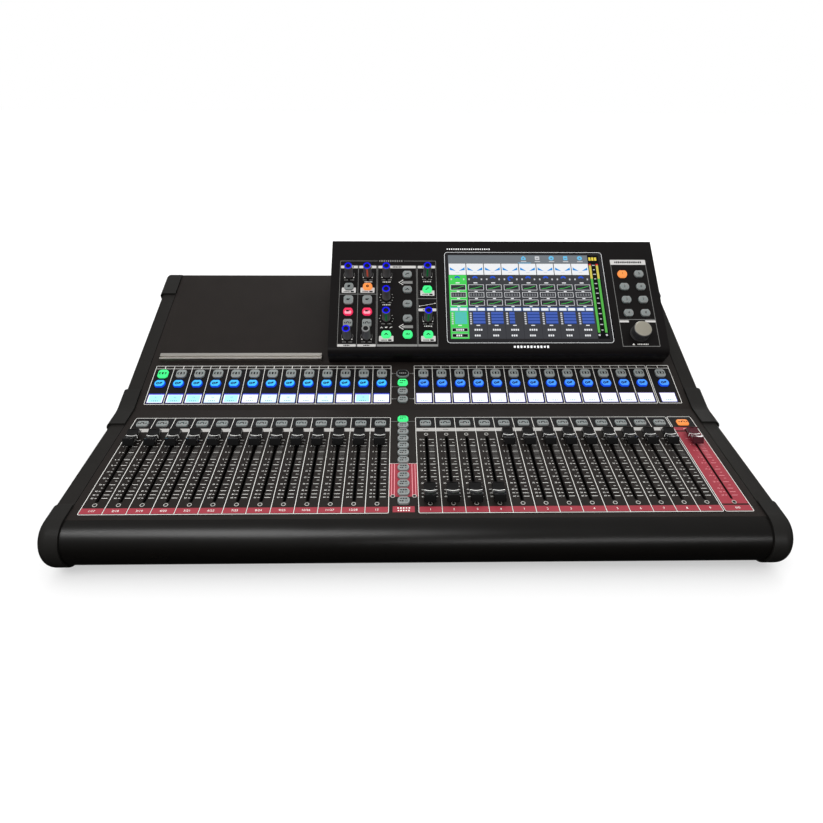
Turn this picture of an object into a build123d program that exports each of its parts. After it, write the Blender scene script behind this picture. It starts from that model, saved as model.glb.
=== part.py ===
from build123d import *
import math
import os

# A digital mixing console, in millimetres. X runs to the operator's right, Y to the back, Z up.
# The origin is at the bottom centre of the overall box. The top is one sheet with one fold: the
# fader panel in front, and the steeper key panel behind it, which carries the screen module.
# On a slope, "run" is measured up the slope and "rise" square to it, out of the surface.

os.makedirs("parts", exist_ok=True)

# ---- Driving dimensions ----
STRIP = 25.0  # width of one fader strip
BANK = 13  # strips in each of the two banks
TRAVEL = 100.0  # fader travel
CENTRE_GAP = 32.2  # column of keys between the banks
MAIN_WIDTH = 32.6  # wider strip of the main fader
MAIN_GUTTER = 2.0  # double line on the left of the main strip
PANEL_HALF = 366.5  # half width of the top sheet
RAIL_WIDTH = 22.5
RAIL_DEPTH = 46.0
RAIL_SEAM = 1.0  # gap between the rails and the top sheet
TRAY_HALF = 383.0
CAP_PROUD = 2.5  # corner caps stand this far out of the rails
FRONT_CAP_END = 14.0  # fader panel run where the front caps meet the rails
ELBOW_START = 160.0  # fader panel run where the caps at the fold start
ELBOW_END = 35.0  # key panel run where they end
REAR_CAP_START = 231.8  # key panel run where the rear caps start
FADER_TILT = 8.0  # degrees from the table
KEY_TILT = 24.0
SCREEN_TILT = 41.6
ROLL_RADIUS = 27.0  # front armrest
FOOT_HEIGHT = 8.0
LIP = 8.0  # from the armrest to the strips' bottom line
FADER_RUN = 192.2  # from that line to the fold
KEY_RUN = 279.0  # from the fold to the rear edge
SHEET = 2.0  # top sheet and fascia
TRAY_SHEET = 1.5
GAP = 0.3  # clearance between neighbouring pieces

# ---- Fader panel, runs from the strips' bottom line ----
FADER_LOW = 25.9  # lever at the bottom of its travel
SLOT_START = 18.8
SLOT_END = 133.0
SLOT_WIDTH = 2.6
FADER_SCREW_RUNS = (14.1, 137.7)
PFL_RUN = 160.0
PFL_SIZE = (14.2, 10.6, 2.6)  # width, height, corner radius
MODE_KEYS = 12
MODE_FIRST = 18.0
MODE_PITCH = 13.8
MODE_SIZE = (13.6, 11.2)
MODE_SCREW_RUN = 26.0
MODE_SCREW_OFFSET = 11.8

# ---- Key panel, runs from the fold ----
DISPLAY_RUN = 20.7
DISPLAY_SIZE = (21.5, 17.2)
ON_RUN = 45.5
ON_SIZE = (14.6, 12.2)
SEL_RUN = 63.5
SEL_SIZE = (13.6, 14.4, 16.0)  # width, height, and the circle they are cut from
PAGE_RUNS = (17.0, 31.3, 47.2)
SHIFT_RUN = 63.2
SHIFT_SIZE = (17.0, 12.6)
SHIFT_CUT = 3.6
LEDGE_RUN = 88.1
LEDGE_X = (-355.1, -130.0)
LEDGE_DEPTH = 11.0
LEDGE_HEIGHT = 6.0
CABLE_X = (0.0, 200.0)
CABLE_RUNS = (140.0, 190.0)

# ---- Screen module, runs from the lit picture's bottom edge ----
MODULE_X = (-119.0, 353.0)
MODULE_FOOT = 86.0  # where its lower wall meets the key panel
MODULE_STEP = 26.5  # height of that wall
MODULE_LOW_RUN = -23.0
MODULE_HIGH_RUN = 163.0
MODULE_NOSE = 10.0  # bend of the fascia over the front edge
MODULE_LIP = 10.0  # flange of the housing under that edge
MODULE_WALL = 1.8
MODULE_SEAM = 0.1  # between the fascia and the housing
SCREEN_X = 161.2
SCREEN_RUN = 68.6
SCREEN_SIZE = (233.4, 152.0, 8.0)  # width, height, corner radius
SCREEN_DEPTH = 7.0
EDIT_COLUMNS = (-92.6, -66.0, -38.9, -9.2, 19.4)
EDIT_KNOBS = (
    (EDIT_COLUMNS[0], 104.0),
    (EDIT_COLUMNS[1], 104.2),
    (EDIT_COLUMNS[2], 104.2),
    (EDIT_COLUMNS[4], 105.0),
    (EDIT_COLUMNS[2], 66.4),
    (EDIT_COLUMNS[2], 32.1),
    (EDIT_COLUMNS[4], 31.9),
    (EDIT_COLUMNS[0], 3.7),
    (EDIT_COLUMNS[1], 3.7),
)
EDIT_KEY_ROWS = (  # the runs of the keys in each column
    (42.9, 83.8),
    (42.9, 83.8),
    (6.3,),
    (6.5, 31.6, 55.2, 78.8, 104.3),
    (6.3, 79.4),
)
SQUARE_KEY_RUN = 24.2  # these two rows are in the first two columns
ROUND_KEY_RUN = 61.6
USER_COLUMNS = (303.3, 327.2)
USER_ROWS = (40.6, 62.4, 84.0, 105.6)
MODULE_KEY_SIZE = (13.4, 12.0)
SQUARE_KEY_SIZE = (13.0, 12.0, 3.0)  # width, height, corner radius
MAIN_KNOB_AT = (313.8, 7.5)

# ---- Keys and knobs ----
KEY_HEIGHT = 2.5
KEY_FLANGE = 1.0
KEY_FLANGE_TOP = -2.7
KEY_BOTTOM = -5.0
KEY_ROUND = 0.6
BOARD_TOP = -9.0
BOARD_THICK = 1.6
KNOB_RADIUS = 5.5
KNOB_HEIGHT = 23.0
KNOB_FLUTES = 18
KNOB_SKIRT = (0.5, 3.0)  # heights of the plain ring at a knob's foot
FLUTE_DEPTH = 0.3
SHAFT_RADIUS = 3.0
SHAFT_HOLE = 3.5
MAIN_KNOB_RADIUS = 13.0
MAIN_KNOB_HEIGHT = 15.0
MAIN_KNOB_FLUTES = 40

# ---- Faders ----
CAP_LENGTH = 29.0
CAP_WIDTH = 13.6
CAP_LOW = 4.6  # a cap floats this high over the panel
CAP_HIGH = 12.0
CAP_LEAN = 4.0  # how far its ends lean in
CAP_DISH = 3.4
CAP_RIB = (3.2, 16.0, 1.2)  # width, length and lowest point of the rib round the blade
BLADE = (1.5, 8.0)  # lever blade, width and length
BLADE_TOP = 7.0
CARRIAGE = (8.2, 12.0)
CARRIAGE_RISES = (-12.0, -7.0)
UNIT_ENDS = (10.0, 144.0)  # runs of a fader unit's channel
UNIT_HOLLOW = (17.0, 134.6)
UNIT_WIDTH = 11.4
UNIT_HOLLOW_WIDTH = 9.0
UNIT_LOW = -18.0
UNIT_FLOOR = 1.2
UNIT_SCREW_DEPTH = 14.0
MOTOR_RUN = 128.0
MOTOR_RADIUS = 8.0
MOTOR_LENGTH = 24.0

# ---- Screws ----
SCREW_HOLE = 1.8
SCREW_HEAD = 2.5
SCREW_SHANK = 1.45

# ---- Rear wall, places seen from behind ----
XLR_PITCH = 28.0
XLR_ROWS = (127.0, 163.0)
INPUTS_START = -338.0
INPUT_COLUMNS = 12
OUTPUTS_START = 14.0
OUTPUT_COLUMNS = 8
JACK_ROW = 92.0
PORTS = (246.0, 268.0, 290.0, 312.0)
PORT_ROW = 163.0
POWER_INLET_AT = (300.0, 92.0)
ROCKER_AT = (342.0, 92.0)
ROCKER_TILT = 8.0
ROCKER_DEPTH = 2.0  # pivot behind the wall's face
ROCKER_PIN = 1.5
XLR_HOLE = 12.2
JACK_HOLE = 5.7
PORT_HOLE = 14.8
INLET_HOLE = (30.8, 26.8)
ROCKER_HOLE = (19.8, 28.8)
VENT_ROW = 48.0
VENT_PITCH = 9.0
VENTS = 22

# ---- Electronics ----
KEY_BOARD_RUNS = (6.0, 76.0)
PFL_BOARD_RUNS = (150.0, 170.0)
MODE_BOARD_RUNS = (10.0, 149.0)
MODE_BOARD_HALF = 15.0
EDIT_BOARD_RUNS = (-14.0, 130.0)
STANDOFF = 8.0
MAIN_BOARD_X = (-180.0, 200.0)
MAIN_BOARD_BACK = (190.0, 50.0)  # from the rear wall
CHIP_XS = (-140.0, -60.0, 20.0, 100.0)
CHIP_SIZE = 28.0
SUPPLY_X = (-345.0, -215.0)
SUPPLY_BACK = (150.0, 60.0)  # from the rear wall
SUPPLY_HEIGHT = 42.0


# ---- Helpers ----
def along(start, tilt, run, rise=0.0):
    """The side-view point (y, z) that lies run up a slope and rise out of it, from start."""
    a = math.radians(tilt)
    y = start[0] + run * math.cos(a) - rise * math.sin(a)
    z = start[1] + run * math.sin(a) + rise * math.cos(a)
    return y, z


def surface(point, tilt):
    """The plane of a slope: its x is the console's X, its y runs up the slope."""
    a = math.radians(tilt)
    out = (0, -math.sin(a), math.cos(a))
    return Plane(origin=(0, point[0], point[1]), x_dir=(1, 0, 0), z_dir=out)


def at(plane, x, run, rise=0.0):
    """The location on a slope at x, run and rise."""
    return plane.location * Pos(x, run, rise)


def side_view(points, radii=None):
    """A face in the side view from its (y, z) corners, rounded where radii are given."""
    if radii is None:
        return make_face(Polyline(*points, close=True))
    return make_face(FilletPolyline(*points, radius=radii, close=True))


def slab(face, low, high):
    """A side-view face made solid between two X positions."""
    return extrude(Plane.YZ.offset(low) * face, amount=high - low)


def plate(shape, low, high):
    """A flat shape made solid between two heights over its own plane."""
    return extrude(Pos(0, 0, low) * shape, amount=high - low)


def block(x, y, z):
    """A box from its low and high limits on each axis."""
    sizes = [high - low for low, high in (x, y, z)]
    centres = [(high + low) / 2 for low, high in (x, y, z)]
    return Pos(*centres) * Box(*sizes)


def clipped_round(width, height, across):
    """A circle of diameter across, cut flat to width and height."""
    return Circle(across / 2) & Rectangle(width, height)


def both_sides(solid):
    """A solid on the right with its mirror image on the left."""
    return [solid, mirror(solid, about=Plane.YZ)]


def write(node, parts):
    """Writes one node as a group of its separate solids."""
    solids = [solid for part in parts for solid in part.solids()]
    export_step(Compound(solids), f"parts/{node}.step")


# ---- Side view ----
TOP_TO_FOLD = along((0.0, 0.0), FADER_TILT, LIP + FADER_RUN, ROLL_RADIUS)
ROLL_TO_REAR = along(TOP_TO_FOLD, KEY_TILT, KEY_RUN)[0]
ROLL = ((ROLL_RADIUS - ROLL_TO_REAR) / 2, FOOT_HEIGHT + ROLL_RADIUS)
PRINT_LINE = along(ROLL, FADER_TILT, LIP, ROLL_RADIUS)
FOLD = along(PRINT_LINE, FADER_TILT, FADER_RUN)
REAR = along(FOLD, KEY_TILT, KEY_RUN)
MODULE_BASE = along(FOLD, KEY_TILT, MODULE_FOOT)
MODULE_EDGE = along(MODULE_BASE, SCREEN_TILT, 0.0, MODULE_STEP)
SCREEN = along(MODULE_EDGE, SCREEN_TILT, -MODULE_LOW_RUN)
REAR_UNDER = (REAR[0], REAR[1] - SHEET / math.cos(math.radians(KEY_TILT)))
ARMREST_TOP = along(ROLL, FADER_TILT, 0.0, ROLL_RADIUS)
ARMREST_FLANGE = along(ROLL, FADER_TILT, 16.0, ROLL_RADIUS - SHEET - GAP)

FADER_FACE = surface(PRINT_LINE, FADER_TILT)
KEY_FACE = surface(FOLD, KEY_TILT)
SCREEN_FACE = surface(SCREEN, SCREEN_TILT)
REAR_FACE = Plane(origin=(0, REAR[0], 0), x_dir=(-1, 0, 0), z_dir=(0, 1, 0))

# ---- Front view ----
HALF_WIDTH = PANEL_HALF + RAIL_WIDTH
CAP_INNER = PANEL_HALF + 0.5
CAP_OUTER = HALF_WIDTH + CAP_PROUD
BANKS_HALF = (2 * BANK * STRIP + CENTRE_GAP + MAIN_WIDTH) / 2
CENTRE_X = -BANKS_HALF + BANK * STRIP + CENTRE_GAP / 2
LEFT_XS = [-BANKS_HALF + (i + 0.5) * STRIP for i in range(BANK)]
RIGHT_XS = [CENTRE_X + CENTRE_GAP / 2 + (i + 0.5) * STRIP for i in range(BANK)]
MAIN_X = BANKS_HALF - (MAIN_WIDTH - MAIN_GUTTER) / 2
STRIP_XS = LEFT_XS + RIGHT_XS + [MAIN_X]

FADER_NAMES = [f"channel_fader_{i + 1}" for i in range(12)] + ["usb_fader"]
FADER_NAMES += [f"fx_fader_{i + 1}" for i in range(4)]
FADER_NAMES += [f"aux_fader_{i + 1}" for i in range(8)] + ["monitor_fader", "main_fader"]

MODE_RUNS = [MODE_FIRST + i * MODE_PITCH for i in range(MODE_KEYS)]
EDIT_KEYS = [(x, run) for x, runs in zip(EDIT_COLUMNS, EDIT_KEY_ROWS) for run in runs]
EDIT_KEYS += [(x, run) for x in USER_COLUMNS for run in USER_ROWS]


def fold_point(rise):
    """The corner of a folded side view that runs rise above the sheet."""
    half_bend = math.radians((KEY_TILT - FADER_TILT) / 2)
    return along(FOLD, (FADER_TILT + KEY_TILT) / 2, 0.0, rise / math.cos(half_bend))


# ---- Keys ----
def key_shapes():
    """The outline of each kind of key."""
    return {
        "pfl": RectangleRounded(*PFL_SIZE),
        "mode": clipped_round(*MODE_SIZE, MODE_SIZE[0]),
        "page": clipped_round(*MODE_SIZE, MODE_SIZE[0]),
        "shift": chamfer(Rectangle(*SHIFT_SIZE).vertices(), SHIFT_CUT),
        "on": clipped_round(*ON_SIZE, ON_SIZE[0]),
        "sel": clipped_round(*SEL_SIZE),
        "edit": clipped_round(*MODULE_KEY_SIZE, MODULE_KEY_SIZE[0]),
        "square": RectangleRounded(*SQUARE_KEY_SIZE),
        "round": clipped_round(*SEL_SIZE),
    }


def key(shape):
    """A key: its cap stands out of the panel and a flange under the panel holds it in."""
    cap = plate(shape, KEY_FLANGE_TOP, KEY_HEIGHT)
    cap = fillet(cap.faces().sort_by(Axis.Z)[-1].edges(), KEY_ROUND)
    flange = plate(offset(shape, amount=KEY_FLANGE), KEY_BOTTOM, KEY_FLANGE_TOP)
    return cap + flange


def key_hole(shape):
    """The tool that cuts a key's hole through a panel."""
    return plate(offset(shape, amount=GAP + 0.05), -2 * SHEET, SHEET)


def spread(solid, places):
    """Copies of one solid at each location."""
    return [place * solid for place in places]


def key_places():
    """The locations of each kind of key: first the top sheet's kinds, then the fascia's."""
    columns = EDIT_COLUMNS[:2]
    return {
        "pfl": [at(FADER_FACE, x, PFL_RUN) for x in STRIP_XS],
        "mode": [at(FADER_FACE, CENTRE_X, run) for run in MODE_RUNS],
        "page": [at(KEY_FACE, CENTRE_X, run) for run in PAGE_RUNS],
        "shift": [at(KEY_FACE, CENTRE_X, SHIFT_RUN)],
        "on": [at(KEY_FACE, x, ON_RUN) for x in STRIP_XS],
        "sel": [at(KEY_FACE, x, SEL_RUN) for x in STRIP_XS],
        "edit": [at(SCREEN_FACE, x, run) for x, run in EDIT_KEYS],
        "square": [at(SCREEN_FACE, x, SQUARE_KEY_RUN) for x in columns],
        "round": [at(SCREEN_FACE, x, ROUND_KEY_RUN) for x in columns],
    }


def keys(*kinds):
    """Every key of the given kinds."""
    return [solid for kind in kinds for solid in spread(key(SHAPES[kind]), PLACES[kind])]


def key_holes(*kinds):
    """The tools that cut the holes of the given kinds of key."""
    return [tool for kind in kinds for tool in spread(key_hole(SHAPES[kind]), PLACES[kind])]


SHAPES = key_shapes()
PLACES = key_places()


# ---- Faders ----
def fader_cap():
    """A cap with leaning ends and a dished top, and the rib under it that grips the blade."""
    half = CAP_LENGTH / 2
    crest = half - CAP_LEAN
    dish = ThreePointArc((crest, CAP_HIGH), (0, CAP_HIGH - CAP_DISH), (-crest, CAP_HIGH))
    sides = Polyline((-crest, CAP_HIGH), (-half, CAP_LOW), (half, CAP_LOW), (crest, CAP_HIGH))
    profile = make_face((dish + sides).edges())
    body = slab(profile, -CAP_WIDTH / 2, CAP_WIDTH / 2)
    body = fillet(body.edges().filter_by(Axis.X).group_by(Axis.Z)[-1], 0.8)
    side_faces = body.faces().filter_by(Axis.X)
    body = fillet([e for f in side_faces for e in f.edges() if e.center().Z > CAP_LOW], 0.9)
    rib_width, rib_length, rib_low = CAP_RIB
    body += plate(Rectangle(rib_width, rib_length), rib_low, CAP_LOW + 0.5)
    width, length = BLADE
    bore = Rectangle(width + 0.2, length + 0.2)
    return body - plate(bore, 0, BLADE_TOP + 0.1)


def fader_lever():
    """The metal lever: a thin blade on the carriage that slides under the panel."""
    low, high = CARRIAGE_RISES
    return plate(Rectangle(*BLADE), high, BLADE_TOP) + plate(Rectangle(*CARRIAGE), low, high)


def write_faders():
    """Each fader is a cap and its lever. The effects faders rest down and the others up."""
    cap = fader_cap()
    lever = fader_lever()
    for name, x in zip(FADER_NAMES, STRIP_XS):
        run = FADER_LOW if name.startswith("fx") else FADER_LOW + TRAVEL
        write(name, spread(cap, [at(FADER_FACE, x, run)]) + spread(lever, [at(FADER_FACE, x, run)]))


def fader_unit():
    """A fader's open-topped channel with its two end blocks, and the motor under it."""
    high = -SHEET - GAP
    channel = block((-UNIT_WIDTH / 2, UNIT_WIDTH / 2), UNIT_ENDS, (UNIT_LOW, high))
    hollow_x = (-UNIT_HOLLOW_WIDTH / 2, UNIT_HOLLOW_WIDTH / 2)
    channel -= block(hollow_x, UNIT_HOLLOW, (UNIT_LOW + UNIT_FLOOR, 0.0))
    for run in FADER_SCREW_RUNS:
        channel -= Pos(0, run, 0) * plate(Circle(SCREW_HOLE), -UNIT_SCREW_DEPTH, 0)
    motor = Cylinder(MOTOR_RADIUS, MOTOR_LENGTH, rotation=(90, 0, 0))
    motor += Pos(0, -MOTOR_LENGTH / 2 - 1.0, 0) * Cylinder(4.0, 3.0, rotation=(90, 0, 0))
    return [channel, Pos(0, MOTOR_RUN, UNIT_LOW - GAP - MOTOR_RADIUS) * motor]


# ---- Knobs ----
def fluted(radius, flutes, depth):
    """A circle with a ring of shallow round flutes."""
    ring = [Rot(0, 0, 360 * i / flutes) * Pos(radius + depth, 0) for i in range(flutes)]
    return Circle(radius) - [place * Circle(2 * depth) for place in ring]


def edit_knob():
    """A slim fluted knob on its shaft."""
    foot, skirt = KNOB_SKIRT
    crown_low = KNOB_HEIGHT - 3.0
    base = plate(Circle(KNOB_RADIUS + 0.3), foot, skirt)
    grip = plate(fluted(KNOB_RADIUS, KNOB_FLUTES, FLUTE_DEPTH), skirt, crown_low)
    crown = plate(Circle(KNOB_RADIUS), crown_low, KNOB_HEIGHT)
    crown = chamfer(crown.faces().sort_by(Axis.Z)[-1].edges(), 0.9)
    knob = base + grip + crown - plate(Circle(SHAFT_RADIUS + 0.1), 0, 12.1)
    shaft = plate(Circle(SHAFT_RADIUS), -7.0, 12.0)
    return [knob, shaft]


def main_knob():
    """The large encoder knob: a fluted body, a metal disc set in its top, and the shaft."""
    foot, skirt = KNOB_SKIRT
    top = MAIN_KNOB_HEIGHT
    grip_radius = MAIN_KNOB_RADIUS - 0.4
    disc_radius = MAIN_KNOB_RADIUS - 1.2
    body = plate(Circle(MAIN_KNOB_RADIUS), foot, skirt)
    body += plate(fluted(grip_radius, MAIN_KNOB_FLUTES, FLUTE_DEPTH), skirt, top - 1.0)
    body += plate(Circle(grip_radius), top - 1.0, top)
    body -= plate(Circle(disc_radius), top - 1.5, top + 1)
    body -= plate(Circle(SHAFT_RADIUS + 0.1), 0, 10.1)
    disc = plate(Circle(disc_radius - 0.1), top - 1.45, top + 0.6)
    disc = chamfer(disc.faces().sort_by(Axis.Z)[-1].edges(), 0.5)
    shaft = plate(Circle(SHAFT_RADIUS), -7.0, 10.0)
    return [body, disc, shaft]


# ---- Sheet metal ----
def top_panel():
    """The folded top sheet with its slots, windows and holes."""
    bend = 3.0
    start = GAP - LIP
    corners = [
        along(PRINT_LINE, FADER_TILT, start),
        fold_point(0.0),
        REAR,
        REAR_UNDER,
        fold_point(-SHEET),
        along(PRINT_LINE, FADER_TILT, start, -SHEET),
    ]
    sheet = slab(side_view(corners, [0, bend, 0, 0, bend + SHEET, 0]), -PANEL_HALF, PANEL_HALF)
    slot = plate(SlotOverall(SLOT_END - SLOT_START, SLOT_WIDTH, rotation=90), -2 * SHEET, SHEET)
    window = plate(Rectangle(*[side + 2 * GAP for side in DISPLAY_SIZE]), -2 * SHEET, SHEET)
    slot_run = (SLOT_START + SLOT_END) / 2
    tools = spread(slot, [at(FADER_FACE, x, slot_run) for x in STRIP_XS])
    tools += spread(window, [at(KEY_FACE, x, DISPLAY_RUN) for x in STRIP_XS])
    tools += key_holes("pfl", "mode", "page", "shift", "on", "sel")
    screw_hole = plate(Circle(SCREW_HOLE), -2 * SHEET, SHEET)
    tools += spread(screw_hole, fader_screw_places() + mode_screw_places())
    tools.append(KEY_FACE.location * block(CABLE_X, CABLE_RUNS, (-2 * SHEET, SHEET)))
    return sheet - tools


def tray_side():
    """The right side wall of the tray, with its vent slots."""
    under = -RAIL_DEPTH - GAP
    front = along(PRINT_LINE, FADER_TILT, 16.5, under)
    corners = [
        (front[0], FOOT_HEIGHT),
        (REAR[0], FOOT_HEIGHT),
        (REAR[0], along(FOLD, KEY_TILT, REAR_CAP_START, under)[1]),
        along(FOLD, KEY_TILT, REAR_CAP_START, under),
        fold_point(under),
        front,
    ]
    wall = slab(side_view(corners), TRAY_HALF - TRAY_SHEET, TRAY_HALF)
    slot = slab(SlotOverall(44.0, 4.0, rotation=90), TRAY_HALF - 5, TRAY_HALF + 5)
    return wall - [Pos(0, REAR[0] - 60.0 - 10.0 * i, 66.0) * slot for i in range(10)]


def base_tray():
    """The folded tray: floor, two side walls and the rear wall that carries the sockets."""
    front = along(PRINT_LINE, FADER_TILT, 16.5, -RAIL_DEPTH - GAP)[0]
    floor = (FOOT_HEIGHT, FOOT_HEIGHT + TRAY_SHEET)
    wall_y = (REAR[0] - TRAY_SHEET, REAR[0])
    shoulder = along(FOLD, KEY_TILT, REAR_CAP_START, -RAIL_DEPTH - GAP)[1]
    wall_top = REAR_UNDER[1] - GAP - TRAY_SHEET * math.tan(math.radians(KEY_TILT))
    inner = PANEL_HALF - GAP
    tray = block((-TRAY_HALF, TRAY_HALF), (front, REAR[0]), floor)
    tray += block((-inner, inner), (ARMREST_FLANGE[0] + GAP, front), floor)
    tray += block((-TRAY_HALF, TRAY_HALF), wall_y, (FOOT_HEIGHT, shoulder))
    tray += block((-inner, inner), wall_y, (FOOT_HEIGHT, wall_top))
    for side in both_sides(tray_side()):
        tray += side
    return tray - rear_cutouts()


# ---- Armrest, rails and corner caps ----
def armrest():
    """The round front armrest, a hollow extrusion with a rebate for the top sheet."""
    wall = 3.0
    nose = (ROLL[0] - ROLL_RADIUS, ROLL[1])
    bottom = (ROLL[0], FOOT_HEIGHT)
    rebate = along(ROLL, FADER_TILT, 0.0, ROLL_RADIUS - SHEET - GAP)
    roll = ThreePointArc(ARMREST_TOP, nose, bottom)
    heel = (ARMREST_FLANGE[0], FOOT_HEIGHT)
    back = Polyline(bottom, heel, ARMREST_FLANGE, rebate, ARMREST_TOP)
    section = make_face((roll + back).edges())
    hollow = offset(section, amount=-wall)
    return slab(section - hollow, -PANEL_HALF, PANEL_HALF)


def outer_edges(solid, wanted):
    """The edges of a cap's outer face that pass a test on their centres."""
    return [e for e in solid.faces().sort_by(Axis.X)[-1].edges() if wanted(e.center())]


def front_cap():
    """The moulded end of the armrest, a little larger all round and rounded outside."""
    radius = ROLL_RADIUS + CAP_PROUD
    floor = FOOT_HEIGHT - CAP_PROUD
    top = along(ROLL, FADER_TILT, 0.0, radius)
    back = along(PRINT_LINE, FADER_TILT, FRONT_CAP_END, CAP_PROUD)
    drop = (back[1] - floor) / math.cos(math.radians(FADER_TILT))
    heel = along(PRINT_LINE, FADER_TILT, FRONT_CAP_END, CAP_PROUD - drop)
    roll = ThreePointArc(top, (ROLL[0] - radius, ROLL[1]), (ROLL[0], floor))
    rest = Polyline((ROLL[0], floor), heel, back, top)
    cap = slab(make_face((roll + rest).edges()), CAP_INNER, CAP_OUTER)
    return fillet(outer_edges(cap, lambda c: c.Y < back[0] - 1.0), 12.0)


def elbow_cap():
    """The moulded joint of two rails at the fold."""
    corners = [
        along(PRINT_LINE, FADER_TILT, ELBOW_START, CAP_PROUD),
        fold_point(CAP_PROUD),
        along(FOLD, KEY_TILT, ELBOW_END, CAP_PROUD),
        along(FOLD, KEY_TILT, ELBOW_END, -RAIL_DEPTH),
        fold_point(-RAIL_DEPTH),
        along(PRINT_LINE, FADER_TILT, ELBOW_START, -RAIL_DEPTH),
    ]
    cap = slab(side_view(corners, [0, 40.0, 0, 0, 40.0, 0]), CAP_INNER, CAP_OUTER)
    return fillet(outer_edges(cap, lambda c: c.Z > FOLD[1] - 2.0), 8.0)


def rear_cap():
    """The moulded end of the upper rail, turned down over the rear corner."""
    behind = REAR[0] + CAP_PROUD
    start = along(FOLD, KEY_TILT, REAR_CAP_START, CAP_PROUD)
    top = start[1] + (behind - start[0]) * math.tan(math.radians(KEY_TILT))
    inner = along(FOLD, KEY_TILT, REAR_CAP_START, -RAIL_DEPTH)
    corners = [start, (behind, top), (behind, inner[1]), inner]
    cap = slab(side_view(corners, [0, 5.0, 4.0, 0]), CAP_INNER, CAP_OUTER)
    return fillet(outer_edges(cap, lambda c: c.Y > start[0] + 18.0 or c.Z > start[1]), 7.0)


def rail(plane, start, end):
    """A hollow side rail between two corner caps, rounded at its outer top edge."""
    low, high = PANEL_HALF + RAIL_SEAM, HALF_WIDTH
    corners = [(low, -RAIL_DEPTH), (high, -RAIL_DEPTH), (high, 0.0), (low, 0.0)]
    section = make_face(FilletPolyline(*corners, radius=[1.0, 4.0, 7.0, 0.6], close=True))
    section -= offset(section, amount=-2.4)
    tube = extrude(Plane.XZ * section, amount=end - start - 2 * GAP)
    return plane.location * Pos(0, end - GAP, 0) * tube


def side_rails():
    """Four rails: a lower and an upper one on each side."""
    lower = rail(FADER_FACE, FRONT_CAP_END, ELBOW_START)
    upper = rail(KEY_FACE, ELBOW_END, REAR_CAP_START)
    return both_sides(lower) + both_sides(upper)


# ---- Screen module ----
def module_back():
    """The point where the module's sloping back meets the plane of the rear wall."""
    top = along(SCREEN, SCREEN_TILT, MODULE_HIGH_RUN)
    a = math.radians(SCREEN_TILT)
    return REAR[0], top[1] - (REAR[0] - top[0]) / math.tan(a)


def screen_housing():
    """The wedge-shaped case behind the fascia, open in front and below, with vents above."""
    low, high = MODULE_X
    front = -SHEET - MODULE_SEAM
    outer_low = MODULE_LOW_RUN - front
    bend = MODULE_NOSE + front
    between = math.radians(SCREEN_TILT - KEY_TILT)
    outer = [
        along(FOLD, KEY_TILT, MODULE_FOOT - front / math.cos(between), 0.1),
        along(SCREEN, SCREEN_TILT, outer_low, front),
        along(SCREEN, SCREEN_TILT, MODULE_HIGH_RUN, front),
        module_back(),
        (REAR[0], REAR[1] + 0.1),
    ]
    inner_low = outer_low + MODULE_WALL
    inner_high = MODULE_HIGH_RUN - MODULE_WALL
    behind = REAR[0] - MODULE_WALL
    tilt = math.radians(SCREEN_TILT)
    far = (behind - SCREEN[0] - inner_high * math.cos(tilt)) / math.sin(tilt)
    inner = [
        along(SCREEN, SCREEN_TILT, inner_low + MODULE_LIP, SHEET),
        along(SCREEN, SCREEN_TILT, inner_high, SHEET),
        along(SCREEN, SCREEN_TILT, inner_high, -far),
        (behind, REAR[1] - 60.0),
        along(SCREEN, SCREEN_TILT, inner_low, -60.0),
        along(SCREEN, SCREEN_TILT, inner_low, front - MODULE_WALL),
        along(SCREEN, SCREEN_TILT, inner_low + MODULE_LIP, front - MODULE_WALL),
    ]
    case = slab(side_view(outer, [0, bend, 0, 0, 0]), low, high)
    inner_bend = bend - MODULE_WALL
    inside = side_view(inner, [0, 0, 0, 0, 0, inner_bend, 0])
    case -= slab(inside, low + MODULE_WALL, high - MODULE_WALL)
    vent = plate(SlotOverall(30.0, 3.0, rotation=90), -5.0, 5.0)
    vent_xs = [low + 60.0 + 8.0 * i for i in range(45)]
    return case - spread(vent, [module_roof().location * Pos(x, 38.0, 0) for x in vent_xs])


def module_roof():
    """The plane of the module's sloping back: its y runs down it from the fascia."""
    top = along(SCREEN, SCREEN_TILT, MODULE_HIGH_RUN)
    a = math.radians(SCREEN_TILT)
    out = (0, math.cos(a), math.sin(a))
    return Plane(origin=(0, top[0], top[1]), x_dir=(1, 0, 0), z_dir=out)


def screen_fascia():
    """The module's face plate, bent down in front, with its window, key and knob holes."""
    skirt = MODULE_STEP - 0.4
    corners = [
        along(SCREEN, SCREEN_TILT, MODULE_HIGH_RUN),
        MODULE_EDGE,
        along(MODULE_EDGE, SCREEN_TILT, 0.0, -skirt),
        along(MODULE_EDGE, SCREEN_TILT, SHEET, -skirt),
        along(MODULE_EDGE, SCREEN_TILT, SHEET, -SHEET),
        along(SCREEN, SCREEN_TILT, MODULE_HIGH_RUN, -SHEET),
    ]
    sheet = slab(side_view(corners, [0, MODULE_NOSE, 0, 0, MODULE_NOSE - SHEET, 0]), *MODULE_X)
    width, height, corner = SCREEN_SIZE
    window = RectangleRounded(width + 2 * GAP, height + 2 * GAP, corner + GAP)
    tools = [at(SCREEN_FACE, SCREEN_X, SCREEN_RUN) * plate(window, -2 * SHEET, SHEET)]
    tools += key_holes("edit", "square", "round")
    shaft_hole = plate(Circle(SHAFT_HOLE), -2 * SHEET, SHEET)
    tools += spread(shaft_hole, [at(SCREEN_FACE, *knob) for knob in EDIT_KNOBS + (MAIN_KNOB_AT,)])
    return sheet - tools


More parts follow.
